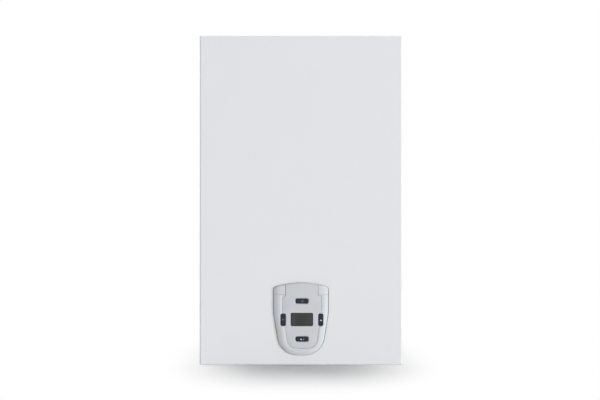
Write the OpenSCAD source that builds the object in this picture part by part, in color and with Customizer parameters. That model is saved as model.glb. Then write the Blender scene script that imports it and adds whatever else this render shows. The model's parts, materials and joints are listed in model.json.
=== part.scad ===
// Wall-hung tankless gas water heater.
// Sizes are in millimetres. The wall is the plane y = 0 and the front faces -Y.
// The origin is the centre of the wall bracket's two screw holes, on the wall.
// Inside the modules, heights are counted from the casing's lower edge.

/* [Casing] */
// Overall width of the casing
casing_w = 400; // [360:1:480]
// Overall height of the casing
casing_h = 650; // [590:1:760]
// Overall depth from the wall to the front face
casing_d = 240; // [238:1:300]
// Sheet thickness of the front cover
cover_t = 1.2; // [0.8:0.1:2]
// Outer bend radius of the cover's upright front edges
cover_bend = 3; // [2.5:0.5:12]
// Outer bend radius of the cover's top and bottom front edges
cover_fold = 2.3; // [2.2:0.1:6]
// Depth of the cover's short top and bottom returns
return_depth = 25; // [18:1:32]
// Width of the back frame that shows behind the cover
frame_reveal = 20; // [16:1:30]
// Seam between the cover and the back frame
frame_seam = 0.5; // [0.3:0.1:1.5]
// Sheet thickness of the back frame, top plate and bottom plate
frame_t = 1.5; // [1:0.1:2.5]
// Distance of the back panel from the wall
standoff = 12; // [10:0.5:15]
// Depth of the flange that the cover's sides slide over
guide_depth = 40; // [25:1:60]
// Height of the recess below the bottom plate
bottom_recess = 30; // [26:1:45]
// Gap between sheets that are assembled next to each other
fit_gap = 0.3; // [0.2:0.05:0.6]

/* [Wall bracket] */
// Width of the wall bracket
bracket_w = 300; // [260:1:340]
// Height of the wall bracket
bracket_h = 40; // [30:1:60]
// Sheet thickness of the wall bracket
bracket_t = 2; // [1.5:0.1:3]
// Distance between the two wall screw holes
bracket_holes = 250; // [200:1:250]
// Radius of the wall screw holes
bracket_hole_r = 3.25; // [2.5:0.05:4.5]
// Distance of the hole line below the casing's top
bracket_drop = 70; // [60:1:110]
// Width of each hanging tongue
tongue_w = 56; // [30:1:70]
// Distance of each tongue's centre from the middle
tongue_x = 92; // [60:1:100]
// Height of each tongue's turned-up lip
tongue_lip = 12; // [8:1:16]

/* [Control panel] */
// Overall width of the shield-shaped panel
panel_w = 110; // [104:1:125]
// Height of the panel's highest point above the casing's lower edge
panel_top = 163; // [158:1:172]
// Height of the panel's lowest point above the casing's lower edge
panel_bottom = 19; // [17:0.5:24]
// Height above the lower edge where the panel's sides begin to taper
taper_z = 104; // [102:1:112]
// Radius of the panel's lower corners
shield_r = 40; // [36:1:42]
// How far the rim stands off the casing's face
rim_h = 8; // [7:0.1:10]
// Width over which the domed rim rises from its outer edge
rim_round = 15.5; // [13:0.1:17]
// Slope of the rim at its outer edge
rim_slope = 30; // [24:1:36]
// Width of the step round the rim
rim_step = 1.1; // [0.8:0.1:1.4]
// Width of the bevel between the rim and the fascia
bevel_w = 3.6; // [2.6:0.1:4]
// Height of that bevel
bevel_h = 0.9; // [0.6:0.1:1.2]
// Share of that width at the panel's top edge
top_share = 0.15; // [0.1:0.05:0.3]
// Share of that width at the panel's lower edge
low_share = 0.75; // [0.6:0.05:0.9]
// How far the fascia stands off the casing's face
fascia_h = 7; // [6:0.1:8.8]
// Distance of the fascia, keys and display from the panel's middle
face_x = 1.9; // [-2:0.1:2.5]
// Wall of the fascia and the bezel over their hollow backs
shell_t = 2.2; // [1.8:0.1:2.6]
// Width of the small notches at the fascia's ends
notch_w = 15; // [10:0.5:18]
// Thickness of the panel housing's deck
deck_t = 1.7; // [1.2:0.1:2.2]
// Wall of the panel housing's skirt
skirt_t = 1.6; // [1.4:0.1:1.8]
// Depth of the panel housing behind the casing's face
skirt_depth = 14; // [12:0.5:18]
// How far the rim overlaps the cut-out in the cover
rim_overlap = 3; // [2:0.1:4]
// Width of the fascia's upper block
block_w = 64; // [56:1:68]
// Height of the seam below the upper block
shoulder_z = 139.5; // [137:0.5:142]
// Width of the fascia between the side keys
fascia_w = 77; // [72:1:80]
// Height of the fascia's lowest point above the casing's lower edge
fascia_bottom = 33; // [32:0.5:38]
// Gap between the panel's outer pieces
panel_gap = 0.35; // [0.2:0.05:0.6]

/* [Keys and display] */
// Length of each key
key_l = 25; // [22:0.5:28]
// Width of each key
key_w = 9.7; // [8:0.1:12]
// Corner radius of each key
key_r = 3; // [1.5:0.1:4.5]
// Height of the upper key's centre
key_top_z = 126.7; // [124:0.1:128]
// Height of the lower key's centre
key_bottom_z = 51.9; // [50:0.1:54]
// Height of the side keys' centres
key_side_z = 89.8; // [88:0.1:92]
// Height of the display's centre
lcd_z = 90.4; // [89:0.1:92]
// Distance of each side key's centre from the middle
key_side_x = 37.2; // [36:0.1:38.5]
// How far the keys stand above the fascia
key_proud = 0.6; // [0.3:0.1:1.2]
// Travel of the keys
key_travel = 0.8; // [0.4:0.1:1]
// Gap round each key
key_gap = 0.35; // [0.25:0.05:0.5]
// Width of the dished edge round each key
dish_w = 1.3; // [0.8:0.1:1.6]
// Depth of the dished edge
dish_depth = 0.9; // [0.4:0.1:1.4]
// Width of the display window
lcd_w = 44; // [38:0.5:46]
// Height of the display window
lcd_h = 26; // [22:0.5:28]
// Thickness of the circuit boards
board_t = 1.6; // [1:0.1:2]

/* [Combustion chamber] */
// Space between the casing's side and the chamber's side
side_space = 35; // [32:0.5:37]
// Height of the chamber's floor above the casing's lower edge
chamber_z = 225; // [218:1:232]
// Space between the chamber's top and the casing's top
top_space = 20; // [18:1:30]
// Space between the back panel and the chamber
back_space = 8; // [6:0.5:12]
// Outer depth of the chamber
chamber_d = 182; // [180:1:190]
// Sheet thickness of the chamber
chamber_t = 1.2; // [0.8:0.1:1.6]
// Width of the chamber's front rim
rim_w = 12; // [10:0.5:15]
// Thickness of the lid's seal
seal_t = 2; // [1:0.1:3]
// Radius of the sight glass
sight_r = 15; // [12:0.5:18]
// Space between the chamber's side and the jacket, burner and heat exchanger
jacket_side = 63; // [60:0.5:65]
// Space behind the jacket
jacket_behind = 24.5; // [22:0.5:26]
// Space in front of the jacket, for the manifold and the electrodes
jacket_before = 33.5; // [32:0.5:36]
// Sheet thickness of the jacket, burner frame and flue hood
jacket_t = 1; // [0.8:0.1:1.4]
// Space between the fan's outlet and the chamber's top
duct_space = 13.2; // [11:0.1:16]

/* [Heat exchanger] */
// Outer radius of the water tubes
tube_r = 8; // [7:0.25:8.5]
// Wall of the water tubes
tube_t = 1; // [0.6:0.1:1.4]
// Distance of the outermost tubes from the jacket's faces
tube_margin = 18; // [16:0.5:20]
// Distance of the tubes below the jacket's upper edge
tube_drop = 42; // [40:1:46]
// Number of fins
fin_count = 22; // [14:1:24]
// Thickness of each fin
fin_t = 0.5; // [0.3:0.1:0.8]
// Height of each fin
fin_h = 62; // [50:1:66]
// Running gap of a tube in a fin or a wall
tube_gap = 0.05; // [0.02:0.01:0.1]

/* [Burner] */
// Number of burner bars
bar_count = 10; // [7:1:11]
// Thickness of each burner bar
bar_t = 11; // [8:0.5:13]
// Height of each burner bar
bar_h = 50; // [40:1:52]
// Height of the burner frame's legs
leg_h = 36; // [32:1:42]
// Height of the burner frame's walls
burner_frame_h = 56; // [54:1:62]
// Side of the square gas manifold
manifold_s = 16; // [14:0.5:17]
// Number of port slots on each bar
slot_count = 8; // [5:1:10]

/* [Fan] */
// Outer radius of the impeller
impeller_r = 38; // [34:0.5:39]
// Width of the impeller
impeller_w = 50; // [40:1:54]
// Number of impeller blades
blade_count = 24; // [16:1:30]
// Thickness of each blade
blade_t = 0.9; // [0.6:0.1:1.2]
// Depth of the fan housing
scroll_d = 64; // [62:0.5:67]
// Space behind the fan housing
scroll_behind = 44.5; // [43:0.5:46]
// Distance of the fan's shaft below its outlet
fan_drop = 47; // [46:0.5:50]
// Wall of the fan housing
scroll_t = 1.5; // [1:0.1:2]
// Least radius of the scroll
scroll_r0 = 43; // [42:0.5:46]
// Greatest radius of the scroll
scroll_r1 = 66; // [62:0.5:68]
// Radius of the fan's inlet
eye_r = 26; // [20:0.5:28]
// Radius of the fan's shaft
shaft_r = 3; // [2:0.25:4]
// Radius of the fan's motor
motor_r = 29; // [24:0.5:32]
// Length of the fan's motor
motor_l = 40; // [32:1:44]

/* [Flue] */
// Inner radius of the exhaust socket
exhaust_r = 30.3; // [28:0.1:31]
// Wall of the exhaust socket
exhaust_t = 1; // [0.8:0.1:1.2]
// Inner radius of the air collar
air_r = 50.4; // [44:0.1:55]
// Wall of the air collar
air_t = 1.2; // [0.8:0.1:2]
// Height of the air collar above the casing's top
collar_h = 8; // [6:0.5:10]
// Step in the air collar's radius just above the casing's top
collar_step = 1; // [0.9:0.1:1.1]

/* [Water and gas] */
// Distance of the water connections inside the chamber's sides
pipe_inset = 25; // [23:0.5:27]
// Distance of the connections from the wall
connect_y = 100; // [96:1:106]
// Outer radius of the water connections' thread
water_thread_r = 10.48; // [9:0.02:13.3]
// Outer radius of the gas connection's thread
gas_thread_r = 13.22; // [10:0.02:14]
// Distance of the drain plug from the cold connection
drain_arm = 32; // [28:0.5:34]
// Length of the connections below the bottom plate
stub_l = 20; // [16:0.5:24]
// Length of the undercut between each thread and the bottom plate
thread_relief = 1; // [0.8:0.1:2]
// Depth of that undercut
thread_cut = 1; // [0.6:0.1:1.2]
// Outer radius of the gas pipe
gas_pipe_r = 7; // [6:0.25:7.5]
// Bend radius of the pipes, measured on their centre line
pipe_bend = 11; // [10:0.5:12]
// Stroke of the gas valve's armatures
valve_stroke = 3; // [2:0.25:4]
// Radius of the flow sensor's turbine
turbine_r = 10; // [8:0.25:10.5]
// Number of turbine blades
turbine_blades = 6; // [4:1:8]

/* [Electronics] */
// Width of the electronics box
box_w = 112; // [100:1:114]
// Height of the electronics box
box_h = 170; // [150:1:175]
// Depth of the electronics box
box_d = 36; // [34:0.5:38]
// How far the electronics box stands out beyond the chamber's side
box_outset = 22; // [18:0.5:24]
// Wall of the electronics box
box_t = 2; // [1.5:0.1:2.5]
// Radius of the mains cable's passage in the gland
cable_r = 4; // [3:0.25:5]
// Distance of the cable gland from the casing's side
gland_inset = 28; // [24:0.5:34]
// Distance of the cable gland from the wall
gland_y = 60; // [50:1:66]

// Piece to show

/* [Hidden] */
$fn = 48;
// Largest turn between two points of a drawn arc
arc_step = 7.5;
// Slices of the domed panel between its edge and its crown
dome_steps = 4;
// Thickness of the slices that rounded forms are drawn over
slice = 0.01;
// How far a cut runs past the face that it opens
over = 1;
hole_z = casing_h - bracket_drop;
sheet_w = casing_w - 2 * (cover_t + fit_gap);
guide_w = sheet_w - 2 * frame_t;
cover_back = frame_reveal + frame_seam;
plate_front = casing_d - return_depth - fit_gap;
lip_front = casing_d - cover_t - 6;
panel_back_y = standoff + frame_t;
tongue_y = panel_back_y + fit_gap;
screw_y = frame_reveal + 15;
screw_zs = [60, casing_h - 60];
screw_r = 2;
screw_gap = 0.1;
cable_x = casing_w / 2 - gland_inset;
cable_y = gland_y;
chamber_w = casing_w - 2 * side_space;
water_x = chamber_w / 2 - pipe_inset;
drain_x = water_x + drain_arm;
drain_y = connect_y;

deck_p0 = fit_gap;
deck_p1 = deck_p0 + deck_t;
board_p1 = -7;
board_p0 = board_p1 - board_t;
switch_h = 1.2;
flange_t = 1.2;
flange_w = 1.2;
stem_r = 2;
boss_r = 3;
boss_hole_r = 1.1;
bosses = [[40, key_top_z], [-40, key_top_z], [28, key_bottom_z], [-28, key_bottom_z]];
skirt_inset = rim_overlap + 0.4;
hook_zs = [118, 141];
hook_w = 9;
hook_d = 2.5;
groove_w = 0.6;
notch_h = 1.2;
notch_d = 1.5;
lens_gap = 0.2;
lens_sink = 0.6;
lens_t = 3;
lens_wall = 1.5;
switch_s = 6;
shield_top_rise = 6.2;
shield_top_drop = 9.1;
shield_top_r = 7.5;
top_arc_r = 165;
dome_r = (rim_round - rim_step) / sin(rim_slope);
shield_lower_w = 83;
fascia_lower_w = 55;
key_top_p = fascia_h + key_proud;

chamber_back = panel_back_y + back_space;
chamber_front = chamber_back + chamber_d;
chamber_top = casing_h - top_space - frame_t;
jacket_w = chamber_w - 2 * jacket_side;
jacket_d = chamber_d - jacket_behind - jacket_before;
jacket_back = chamber_back + jacket_behind;
jacket_y = jacket_back + jacket_d / 2;
jacket_front = jacket_back + jacket_d;
burner_z = chamber_z + chamber_t + leg_h;
burner_top = burner_z + burner_frame_h;
rail_h = 3;
bar_z = burner_z + rail_h;
bar_pitch = (jacket_w - 2 * jacket_t - 6) / bar_count;
throat_z = bar_z + 12;
throat_r = 5.5;
throat_front = jacket_front + 3;
injector_l = 6;
injector_gap = 3;
manifold_back = throat_front + injector_gap + injector_l;
manifold_front = manifold_back + manifold_s;
electrode_z = burner_top + 17;
electrode_xs = [20, 34, -24];
electrode_r = 3;
rod_r = 1;
tube_end = jacket_w / 2 + 16;
nut_r = 12;
nut_l = 9;

hood_h = 15;
scroll_back = chamber_back + scroll_behind;
scroll_front = scroll_back + scroll_d;
scroll_mid = scroll_back + scroll_d / 2;
scroll_rb = scroll_r0 + (scroll_r1 - scroll_r0) * 0.7;
duct_s = 2 * (exhaust_r + exhaust_t) + 1.4;
fan_x = duct_s / 2 - scroll_r1;
duct_top = chamber_top - duct_space;
fan_z = duct_top - fan_drop;
hood_top = fan_z - scroll_rb - 2;
jacket_top = hood_top - hood_h;
tube_z = jacket_top - tube_drop;
tube_count = 5;
tube_pitch = (jacket_d - 2 * tube_margin) / (tube_count - 1);
hub_r = 12;
spigot_top = casing_h + collar_h - 2;
flange_r = air_r + air_t + 12;
hose_r = 3;
switch_r = 26;
switch_y = scroll_mid + 16;
switch_z = fan_z - 4;
air_switch_w = 24;

fitting_top = bottom_recess + frame_t + 56;
sensor_h = 52;
sensor_r = 15;
valve_z0 = bottom_recess + frame_t + 32;
valve_h = 56;
valve_half = 28;
coil_r = 12.5;
coil_l = 40;
coil_x = 13.5;
armature_r = 4;
armature_gap = 0.2;
jog_z = chamber_z - 13;
box_x0 = -chamber_w / 2 - box_outset;
shoulder_h = 8;
shoulder_w = 5;
clip_h = 12;
cable_lift = 8;

// Outlines: each corner is [x, z, radius], and the arcs are drawn by formula

function unit(v) = v / norm(v);
function flat(p) = [p[0], p[1]];
function wrap(a) = a > 180 ? a - 360 : a < -180 ? a + 360 : a;

function corner(a, p, b) =
  p[2] <= 0 ? [flat(p)] :
  let (
    u = unit(flat(a) - flat(p)),
    w = unit(flat(b) - flat(p)),
    half = acos(u * w) / 2,
    middle = flat(p) + unit(u + w) * p[2] / sin(half),
    s = flat(p) + u * p[2] / tan(half) - middle,
    e = flat(p) + w * p[2] / tan(half) - middle,
    a0 = atan2(s[1], s[0]),
    sweep = wrap(atan2(e[1], e[0]) - a0),
    n = max(2, ceil(abs(sweep) / arc_step))
  )
  [for (k = [0:n]) middle + p[2] * [cos(a0 + sweep * k / n), sin(a0 + sweep * k / n)]];

function rounded(v) =
  let (n = len(v))
  [for (i = [0:n - 1]) each corner(v[(i + n - 1) % n], v[i], v[(i + 1) % n])];

// The same convex outline, moved inwards by e
function shrink(v, e) =
  let (n = len(v))
  [for (i = [0:n - 1])
    let (
      u = unit(flat(v[(i + n - 1) % n]) - flat(v[i])),
      w = unit(flat(v[(i + 1) % n]) - flat(v[i])),
      half = acos(u * w) / 2,
      q = flat(v[i]) + unit(u + w) * e / sin(half)
    )
    [q[0], q[1], max(v[i][2] - e, 0.3)]];

// The panel's outline, with its sides moved inwards by e and its ends by a share of it
function shield(e = 0) =
  let (
    half = panel_w / 2 - e,
    low_half = shield_lower_w / 2 - e * 0.8,
    top = panel_top - e * top_share,
    low = panel_bottom + e * low_share,
    corner_r = shield_top_r - e / 3,
    share = pow(2 * half / panel_w, 2),
    shoulder = top - shield_top_drop * share
  )
  [
    [0, top + shield_top_rise * share, top_arc_r],
    [-half, shoulder, corner_r],
    [-half, taper_z, 120],
    [-low_half, low + 1.2, shield_r - e],
    [0, low + 0.2, 150],
    [low_half, low + 1.2, shield_r - e],
    [half, taper_z, 120],
    [half, shoulder, corner_r]
  ];

function fascia_cup() = [
  [face_x - fascia_w / 2, shoulder_z - 3, 3],
  [face_x - fascia_w / 2, taper_z + 5, 40],
  [face_x - fascia_lower_w / 2, fascia_bottom + 2.4, 17],
  [face_x, fascia_bottom, 100],
  [face_x + fascia_lower_w / 2, fascia_bottom + 2.4, 17],
  [face_x + fascia_w / 2, taper_z + 5, 40],
  [face_x + fascia_w / 2, shoulder_z - 3, 3]
];

function fascia_block() = [
  [face_x - block_w / 2, shoulder_z - 12, 0.5],
  [face_x + block_w / 2, shoulder_z - 12, 0.5],
  [face_x + block_w / 2, panel_top - 1.6, 2],
  [face_x, panel_top, 250],
  [face_x - block_w / 2, panel_top - 1.6, 2]
];

function key(w, h, x, z) = [
  [x - w / 2, z - h / 2, key_r],
  [x + w / 2, z - h / 2, key_r],
  [x + w / 2, z + h / 2, key_r],
  [x - w / 2, z + h / 2, key_r]
];

key_places = [
  [face_x, key_top_z], [face_x, key_bottom_z],
  [face_x - key_side_x, key_side_z], [face_x + key_side_x, key_side_z]
];
key_top = key(key_l, key_w, face_x, key_top_z);
key_bottom = key(key_l, key_w, face_x, key_bottom_z);
key_left = key(key_w, key_l - 1, face_x - key_side_x, key_side_z);
key_right = key(key_w, key_l - 1, face_x + key_side_x, key_side_z);
lcd = key(lcd_w, lcd_h, face_x, lcd_z);
keys = [key_top, key_bottom, key_left, key_right];

// Shared shapes

// Puts a piece drawn from the casing's lower edge into the model's frame
module place() {
  translate([0, 0, -hole_z])
    children();
}

module block(lo, hi) {
  translate(lo)
    cube(hi - lo);
}

// Extrudes an outline between two heights above the casing's face
module lift(p0, p1) {
  translate([0, -casing_d - p0, 0])
    rotate([90, 0, 0])
      linear_extrude(height = p1 - p0)
        children();
}

module outline(v, e = 0) {
  polygon(rounded(shrink(v, e)));
}

// A convex outline whose front edge rounds down over the width e and the height h
module dome(v, p0, p1, e, h, n = 3) {
  hull() {
    lift(p0, p1 - h)
      outline(v);
    for (k = [1:n])
      lift(p1 - h + (h - slice) * sin(90 * k / n), p1 - h + (h - slice) * sin(90 * k / n) + slice)
        outline(v, e * (1 - cos(90 * k / n)));
  }
}

// The whole panel's domed form, from the deck up to the height p1
module panel_dome(p1) {
  hull() {
    lift(deck_p1, p1 - dome_r * (1 - cos(rim_slope)))
      polygon(rounded(shield(rim_step)));
    for (k = [1:dome_steps]) {
      a = rim_slope * (1 - k / dome_steps);
      p = p1 - slice - dome_r * (1 - cos(a));
      lift(p, p + slice)
        polygon(rounded(shield(rim_round - dome_r * sin(a))));
    }
  }
}

// The flared mouth of an opening that has the gap round its outline
module dish(v, top, gap = key_gap, w = dish_w, h = dish_depth) {
  hull() {
    lift(top - h, top - h + slice)
      outline(v, -gap);
    lift(top, top + slice)
      outline(v, -gap - w);
  }
}

module upright(x, y, z0, z1, r) {
  translate([x, -y, z0])
    cylinder(h = z1 - z0, r = r);
}

// A cylinder that runs forward from the distance y0 off the wall to y1
module forward(x, z, y0, y1, r) {
  translate([x, -y0, z])
    rotate([90, 0, 0])
      cylinder(h = y1 - y0, r = r);
}

module across(y, z, x0, x1, r) {
  translate([x0, -y, z])
    rotate([0, 90, 0])
      cylinder(h = x1 - x0, r = r);
}

// Pipes: the paths run along the axes, and each corner is a quarter of a ring
function side(d) = abs(d[0]) > 0.5 ? [0, 1, 0] : [1, 0, 0];

module straight(a, b, r) {
  d = unit(b - a);
  u = side(d);
  v = cross(d, u);
  multmatrix([
    [u[0], v[0], d[0], a[0]],
    [u[1], v[1], d[1], a[1]],
    [u[2], v[2], d[2], a[2]],
    [0, 0, 0, 1]
  ])
    cylinder(h = norm(b - a), r = r);
}

module elbow(p, d1, d2, bend, r) {
  c = p - d1 * bend + d2 * bend;
  n = cross(d1, d2);
  multmatrix([
    [-d2[0], d1[0], n[0], c[0]],
    [-d2[1], d1[1], n[1], c[1]],
    [-d2[2], d1[2], n[2], c[2]],
    [0, 0, 0, 1]
  ])
    rotate_extrude(angle = 90)
      translate([bend, 0])
        circle(r = r);
}

module run(path, r, bend) {
  n = len(path);
  for (i = [0:n - 2]) {
    d = unit(path[i + 1] - path[i]);
    straight(
      path[i] + (i > 0 ? d * bend : 0 * d),
      path[i + 1] - (i < n - 2 ? d * bend : 0 * d),
      r
    );
  }
  for (i = [1:1:n - 2])
    elbow(path[i], unit(path[i] - path[i - 1]), unit(path[i + 1] - path[i]), bend, r);
}

function extended(path) =
  let (n = len(path))
  [for (i = [0:n - 1])
    i == 0 ? path[0] + over * unit(path[0] - path[1]) :
    i == n - 1 ? path[i] + over * unit(path[i] - path[i - 1]) :
    path[i]];

module pipe(path, r, wall, bend) {
  difference() {
    run(path, r, bend);
    run(extended(path), r - wall, bend);
  }
}

// Casing

module wall_bracket() {
  color("silver")
    difference() {
      union() {
        translate([-bracket_w / 2, -bracket_t, -bracket_h / 2])
          cube([bracket_w, bracket_t, bracket_h]);
        for (s = [-1, 1])
          translate([s * tongue_x - tongue_w / 2, 0, 0]) {
            translate([0, -tongue_y - bracket_t, bracket_h / 2 - bracket_t])
              cube([tongue_w, tongue_y + bracket_t, bracket_t]);
            translate([0, -tongue_y - bracket_t, bracket_h / 2 - bracket_t])
              cube([tongue_w, bracket_t, bracket_t + tongue_lip]);
          }
      }
      for (s = [-1, 1])
        translate([s * bracket_holes / 2, over, 0])
          rotate([90, 0, 0])
            cylinder(h = bracket_t + 2 * over, r = bracket_hole_r);
    }
}

module side_section() {
  x0 = sheet_w / 2;
  translate([0, -panel_back_y])
    square([casing_w / 2 - frame_t / 2, frame_t]);
  translate([casing_w / 2 - frame_t, -frame_reveal])
    square([frame_t, frame_reveal]);
  translate([x0 - frame_t, -frame_reveal])
    square([casing_w / 2 - x0 + frame_t, frame_t]);
  translate([x0 - frame_t, -frame_reveal - guide_depth])
    square([frame_t, guide_depth + frame_t]);
}

module back_panel() {
  color("gainsboro")
    place()
      difference() {
        for (s = [0, 1])
          mirror([s, 0, 0])
            linear_extrude(height = casing_h - frame_t)
              side_section();
        for (s = [-1, 1])
          block(
            [s * tongue_x - tongue_w / 2 - 2, -panel_back_y - over, hole_z + bracket_h / 2 - bracket_t - 6],
            [s * tongue_x + tongue_w / 2 + 2, -standoff + over, hole_z + bracket_h / 2]
          );
        for (z = screw_zs)
          across(screw_y, z, -casing_w / 2 - over, casing_w / 2 + over, screw_r + screw_gap);
      }
}

module top_plate() {
  top_z = casing_h - frame_t;
  color("gainsboro")
    place()
      difference() {
        union() {
          block([-casing_w / 2, -frame_reveal, top_z], [casing_w / 2, 0, casing_h]);
          block([-sheet_w / 2, -plate_front, top_z], [sheet_w / 2, -frame_reveal / 2, casing_h]);
          block(
            [-guide_w / 2, -lip_front, top_z - frame_t],
            [guide_w / 2, -plate_front + 10, casing_h - cover_t - fit_gap]
          );
        }
        upright(0, scroll_mid, top_z - over, casing_h + over, air_r + air_t + tube_gap);
      }
}

module bottom_plate() {
  z0 = bottom_recess;
  z1 = bottom_recess + frame_t;
  lip_z = cover_t + fit_gap;
  half = guide_w / 2 - fit_gap;
  color("gainsboro")
    place()
      difference() {
        union() {
          block([-half, -plate_front, z0], [half, -panel_back_y, z1]);
          block([-half, -plate_front, lip_z], [half, -plate_front + frame_t, z1]);
          block([-half, -lip_front, lip_z], [half, -plate_front + frame_t, lip_z + frame_t]);
          for (s = [0, 1])
            mirror([s, 0, 0])
              block([half - frame_t, -plate_front, z0], [half, -panel_back_y, z0 + 15]);
        }
        for (s = [-1, 1])
          upright(s * water_x, connect_y, z0 - over, z1 + over, water_thread_r + screw_gap);
        upright(0, connect_y, z0 - over, z1 + over, gas_thread_r + screw_gap);
        upright(drain_x, drain_y, z0 - over, z1 + over, 9 + screw_gap);
        upright(-cable_x, cable_y, z0 - over, z1 + over, cable_r + 4 + screw_gap);
      }
}

// A pan with its corner bends and folds, moved inwards by e
module pan(e, more) {
  intersection() {
    linear_extrude(height = casing_h)
      polygon(rounded([
        [-casing_w / 2 + e, -casing_d + e, cover_bend - e],
        [casing_w / 2 - e, -casing_d + e, cover_bend - e],
        [casing_w / 2 - e, -cover_back + more, 0],
        [-casing_w / 2 + e, -cover_back + more, 0]
      ]));
    rotate([90, 0, 90])
      translate([0, 0, -casing_w / 2])
        linear_extrude(height = casing_w)
          polygon(rounded([
            [-casing_d + e, e, cover_fold - e],
            [-cover_back + more, e, 0],
            [-cover_back + more, casing_h - e, 0],
            [-casing_d + e, casing_h - e, cover_fold - e]
          ]));
  }
}

module front_cover() {
  color("white")
    place()
      difference() {
        pan(0, 0);
        pan(cover_t, over);
        block(
          [-casing_w / 2 + cover_t, -casing_d + return_depth, -over],
          [casing_w / 2 - cover_t, over, casing_h + over]
        );
        lift(-cover_t - over, over)
          outline(shield(), rim_overlap);
        for (z = screw_zs)
          across(screw_y, z, -casing_w / 2 - over, casing_w / 2 + over, screw_r + screw_gap);
      }
}

module side_screw() {
  cylinder(h = 8, r = screw_r);
  translate([0, 0, 8])
    cylinder(h = 2, r = 3.8);
}

module case_screws() {
  color("silver")
    place()
      for (s = [0, 1])
        mirror([s, 0, 0])
          for (z = screw_zs)
            translate([casing_w / 2 - 8, -screw_y, z])
              rotate([0, 90, 0])
                side_screw();
}

// Control panel

module key_wells(p0, p1, gap) {
  for (v = keys)
    lift(p0, p1)
      outline(v, -gap);
}

module panel_housing() {
  color("slategray")
    place()
      difference() {
        union() {
          lift(deck_p0, deck_p1)
            outline(shield());
          difference() {
            lift(-skirt_depth, deck_p0)
              outline(shield(), skirt_inset);
            lift(-skirt_depth - over, deck_p0)
              outline(shield(), skirt_inset + skirt_t);
          }
          for (s = [-1, 1])
            for (z = hook_zs)
              lift(-cover_t - fit_gap - hook_d, -cover_t - fit_gap)
                translate([s * (panel_w / 2 - rim_overlap + 0.2), z])
                  square([3, hook_w], center = true);
          for (b = bosses)
            lift(board_p1, deck_p0)
              translate(b)
                circle(r = boss_r);
          difference() {
            panel_dome(rim_h);
            lift(deck_p1 - over, rim_h + over)
              translate([-panel_w, -over])
                square([2 * panel_w, shoulder_z + over + panel_gap / 2]);
            lift(deck_p1 - over, rim_h + over)
              translate([face_x - block_w / 2 - groove_w, 0])
                square([block_w + 2 * groove_w, 2 * panel_top]);
          }
        }
        key_wells(deck_p0 - over, deck_p1 + over, key_gap);
        lift(deck_p0 - over, deck_p1 + over)
          outline(lcd, lens_wall);
        for (b = bosses)
          lift(board_p1 - over, -1)
            translate(b)
              circle(r = boss_hole_r);
      }
}

// The hollow in the bezel's back, between its outer edge and its inner walls
module bezel_hollow() {
  lift(deck_p1 - over, rim_h - 1.7 * shell_t)
    difference() {
      outline(shield(), 3 * shell_t);
      outline(fascia_cup(), -panel_gap - shell_t);
      translate([-panel_w, shoulder_z - 2 * shell_t])
        square([2 * panel_w, panel_top]);
      for (v = [key_left, key_right])
        outline(v, -key_gap - shell_t);
    }
}

module panel_bezel() {
  color("silver")
    place()
      difference() {
        panel_dome(rim_h);
        lift(deck_p1 - over, rim_h + over)
          translate([-panel_w, shoulder_z - panel_gap / 2])
            square([2 * panel_w, panel_top]);
        lift(deck_p1 - over, rim_h + over)
          outline(fascia_cup(), -panel_gap);
        dish(fascia_cup(), rim_h, panel_gap, bevel_w, bevel_h);
        lift(deck_p1 - over, rim_h + over)
          translate([face_x - block_w / 2 - groove_w, shoulder_z - 6])
            square([block_w + 2 * groove_w, panel_top]);
        for (v = [key_left, key_right]) {
          lift(deck_p1 - over, rim_h + over)
            outline(v, -key_gap);
          dish(v, rim_h);
        }
        bezel_hollow();
      }
}

// The hollow in the fascia's back, with walls left round the keys and the display
module fascia_hollow() {
  lift(deck_p1 - over, fascia_h - shell_t)
    difference() {
      union() {
        outline(fascia_cup(), shell_t);
        intersection() {
          outline(fascia_block(), shell_t);
          translate([-panel_w, 0])
            square([2 * panel_w, panel_top - 10]);
        }
      }
      outline(lcd, -lens_gap - shell_t);
      for (v = keys)
        outline(v, -key_gap - shell_t);
    }
}

module panel_fascia() {
  color("lightgray")
    place()
      difference() {
        intersection() {
          panel_dome(fascia_h);
          union() {
            dome(fascia_cup(), deck_p1, fascia_h, 0.4, 0.5);
            dome(fascia_block(), deck_p1, fascia_h, 0.6, 1);
          }
        }
        key_wells(deck_p1 - over, fascia_h + over, key_gap);
        for (v = keys)
          dish(v, fascia_h);
        lift(deck_p1 - over, fascia_h + over)
          outline(lcd, -lens_gap);
        for (z = [fascia_bottom + 0.4, panel_top - 1.2])
          lift(fascia_h - notch_d, fascia_h + over)
            translate([face_x, z])
              square([notch_w, notch_h], center = true);
        fascia_hollow();
      }
}

// The clear window is a cap whose wall stands on the housing's deck round the display
module lcd_window() {
  color("darkslategray")
    place()
      difference() {
        lift(deck_p1, fascia_h - lens_sink)
          outline(lcd);
        lift(deck_p1 - over, fascia_h - lens_sink - lens_t)
          outline(lcd, lens_wall);
      }
}

module lcd_module() {
  color("dimgray")
    place() {
      lift(board_p1, deck_p0 - 0.1)
        outline(lcd, -1.5);
      lift(deck_p0 - 0.1, fascia_h - lens_sink - lens_t - 0.2)
        outline(lcd, lens_wall + fit_gap + 0.1);
    }
}

module display_board() {
  color("darkgreen")
    place()
      difference() {
        union() {
          lift(board_p0, board_p1)
            outline(shield(), skirt_inset + skirt_t + 1);
          for (c = key_places)
            lift(board_p1, board_p1 + switch_h)
              translate(c)
                square([switch_s, switch_s], center = true);
        }
        for (b = bosses)
          lift(board_p0 - over, board_p1 + over)
            translate(b)
              circle(r = boss_hole_r + 0.2);
      }
}

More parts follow.
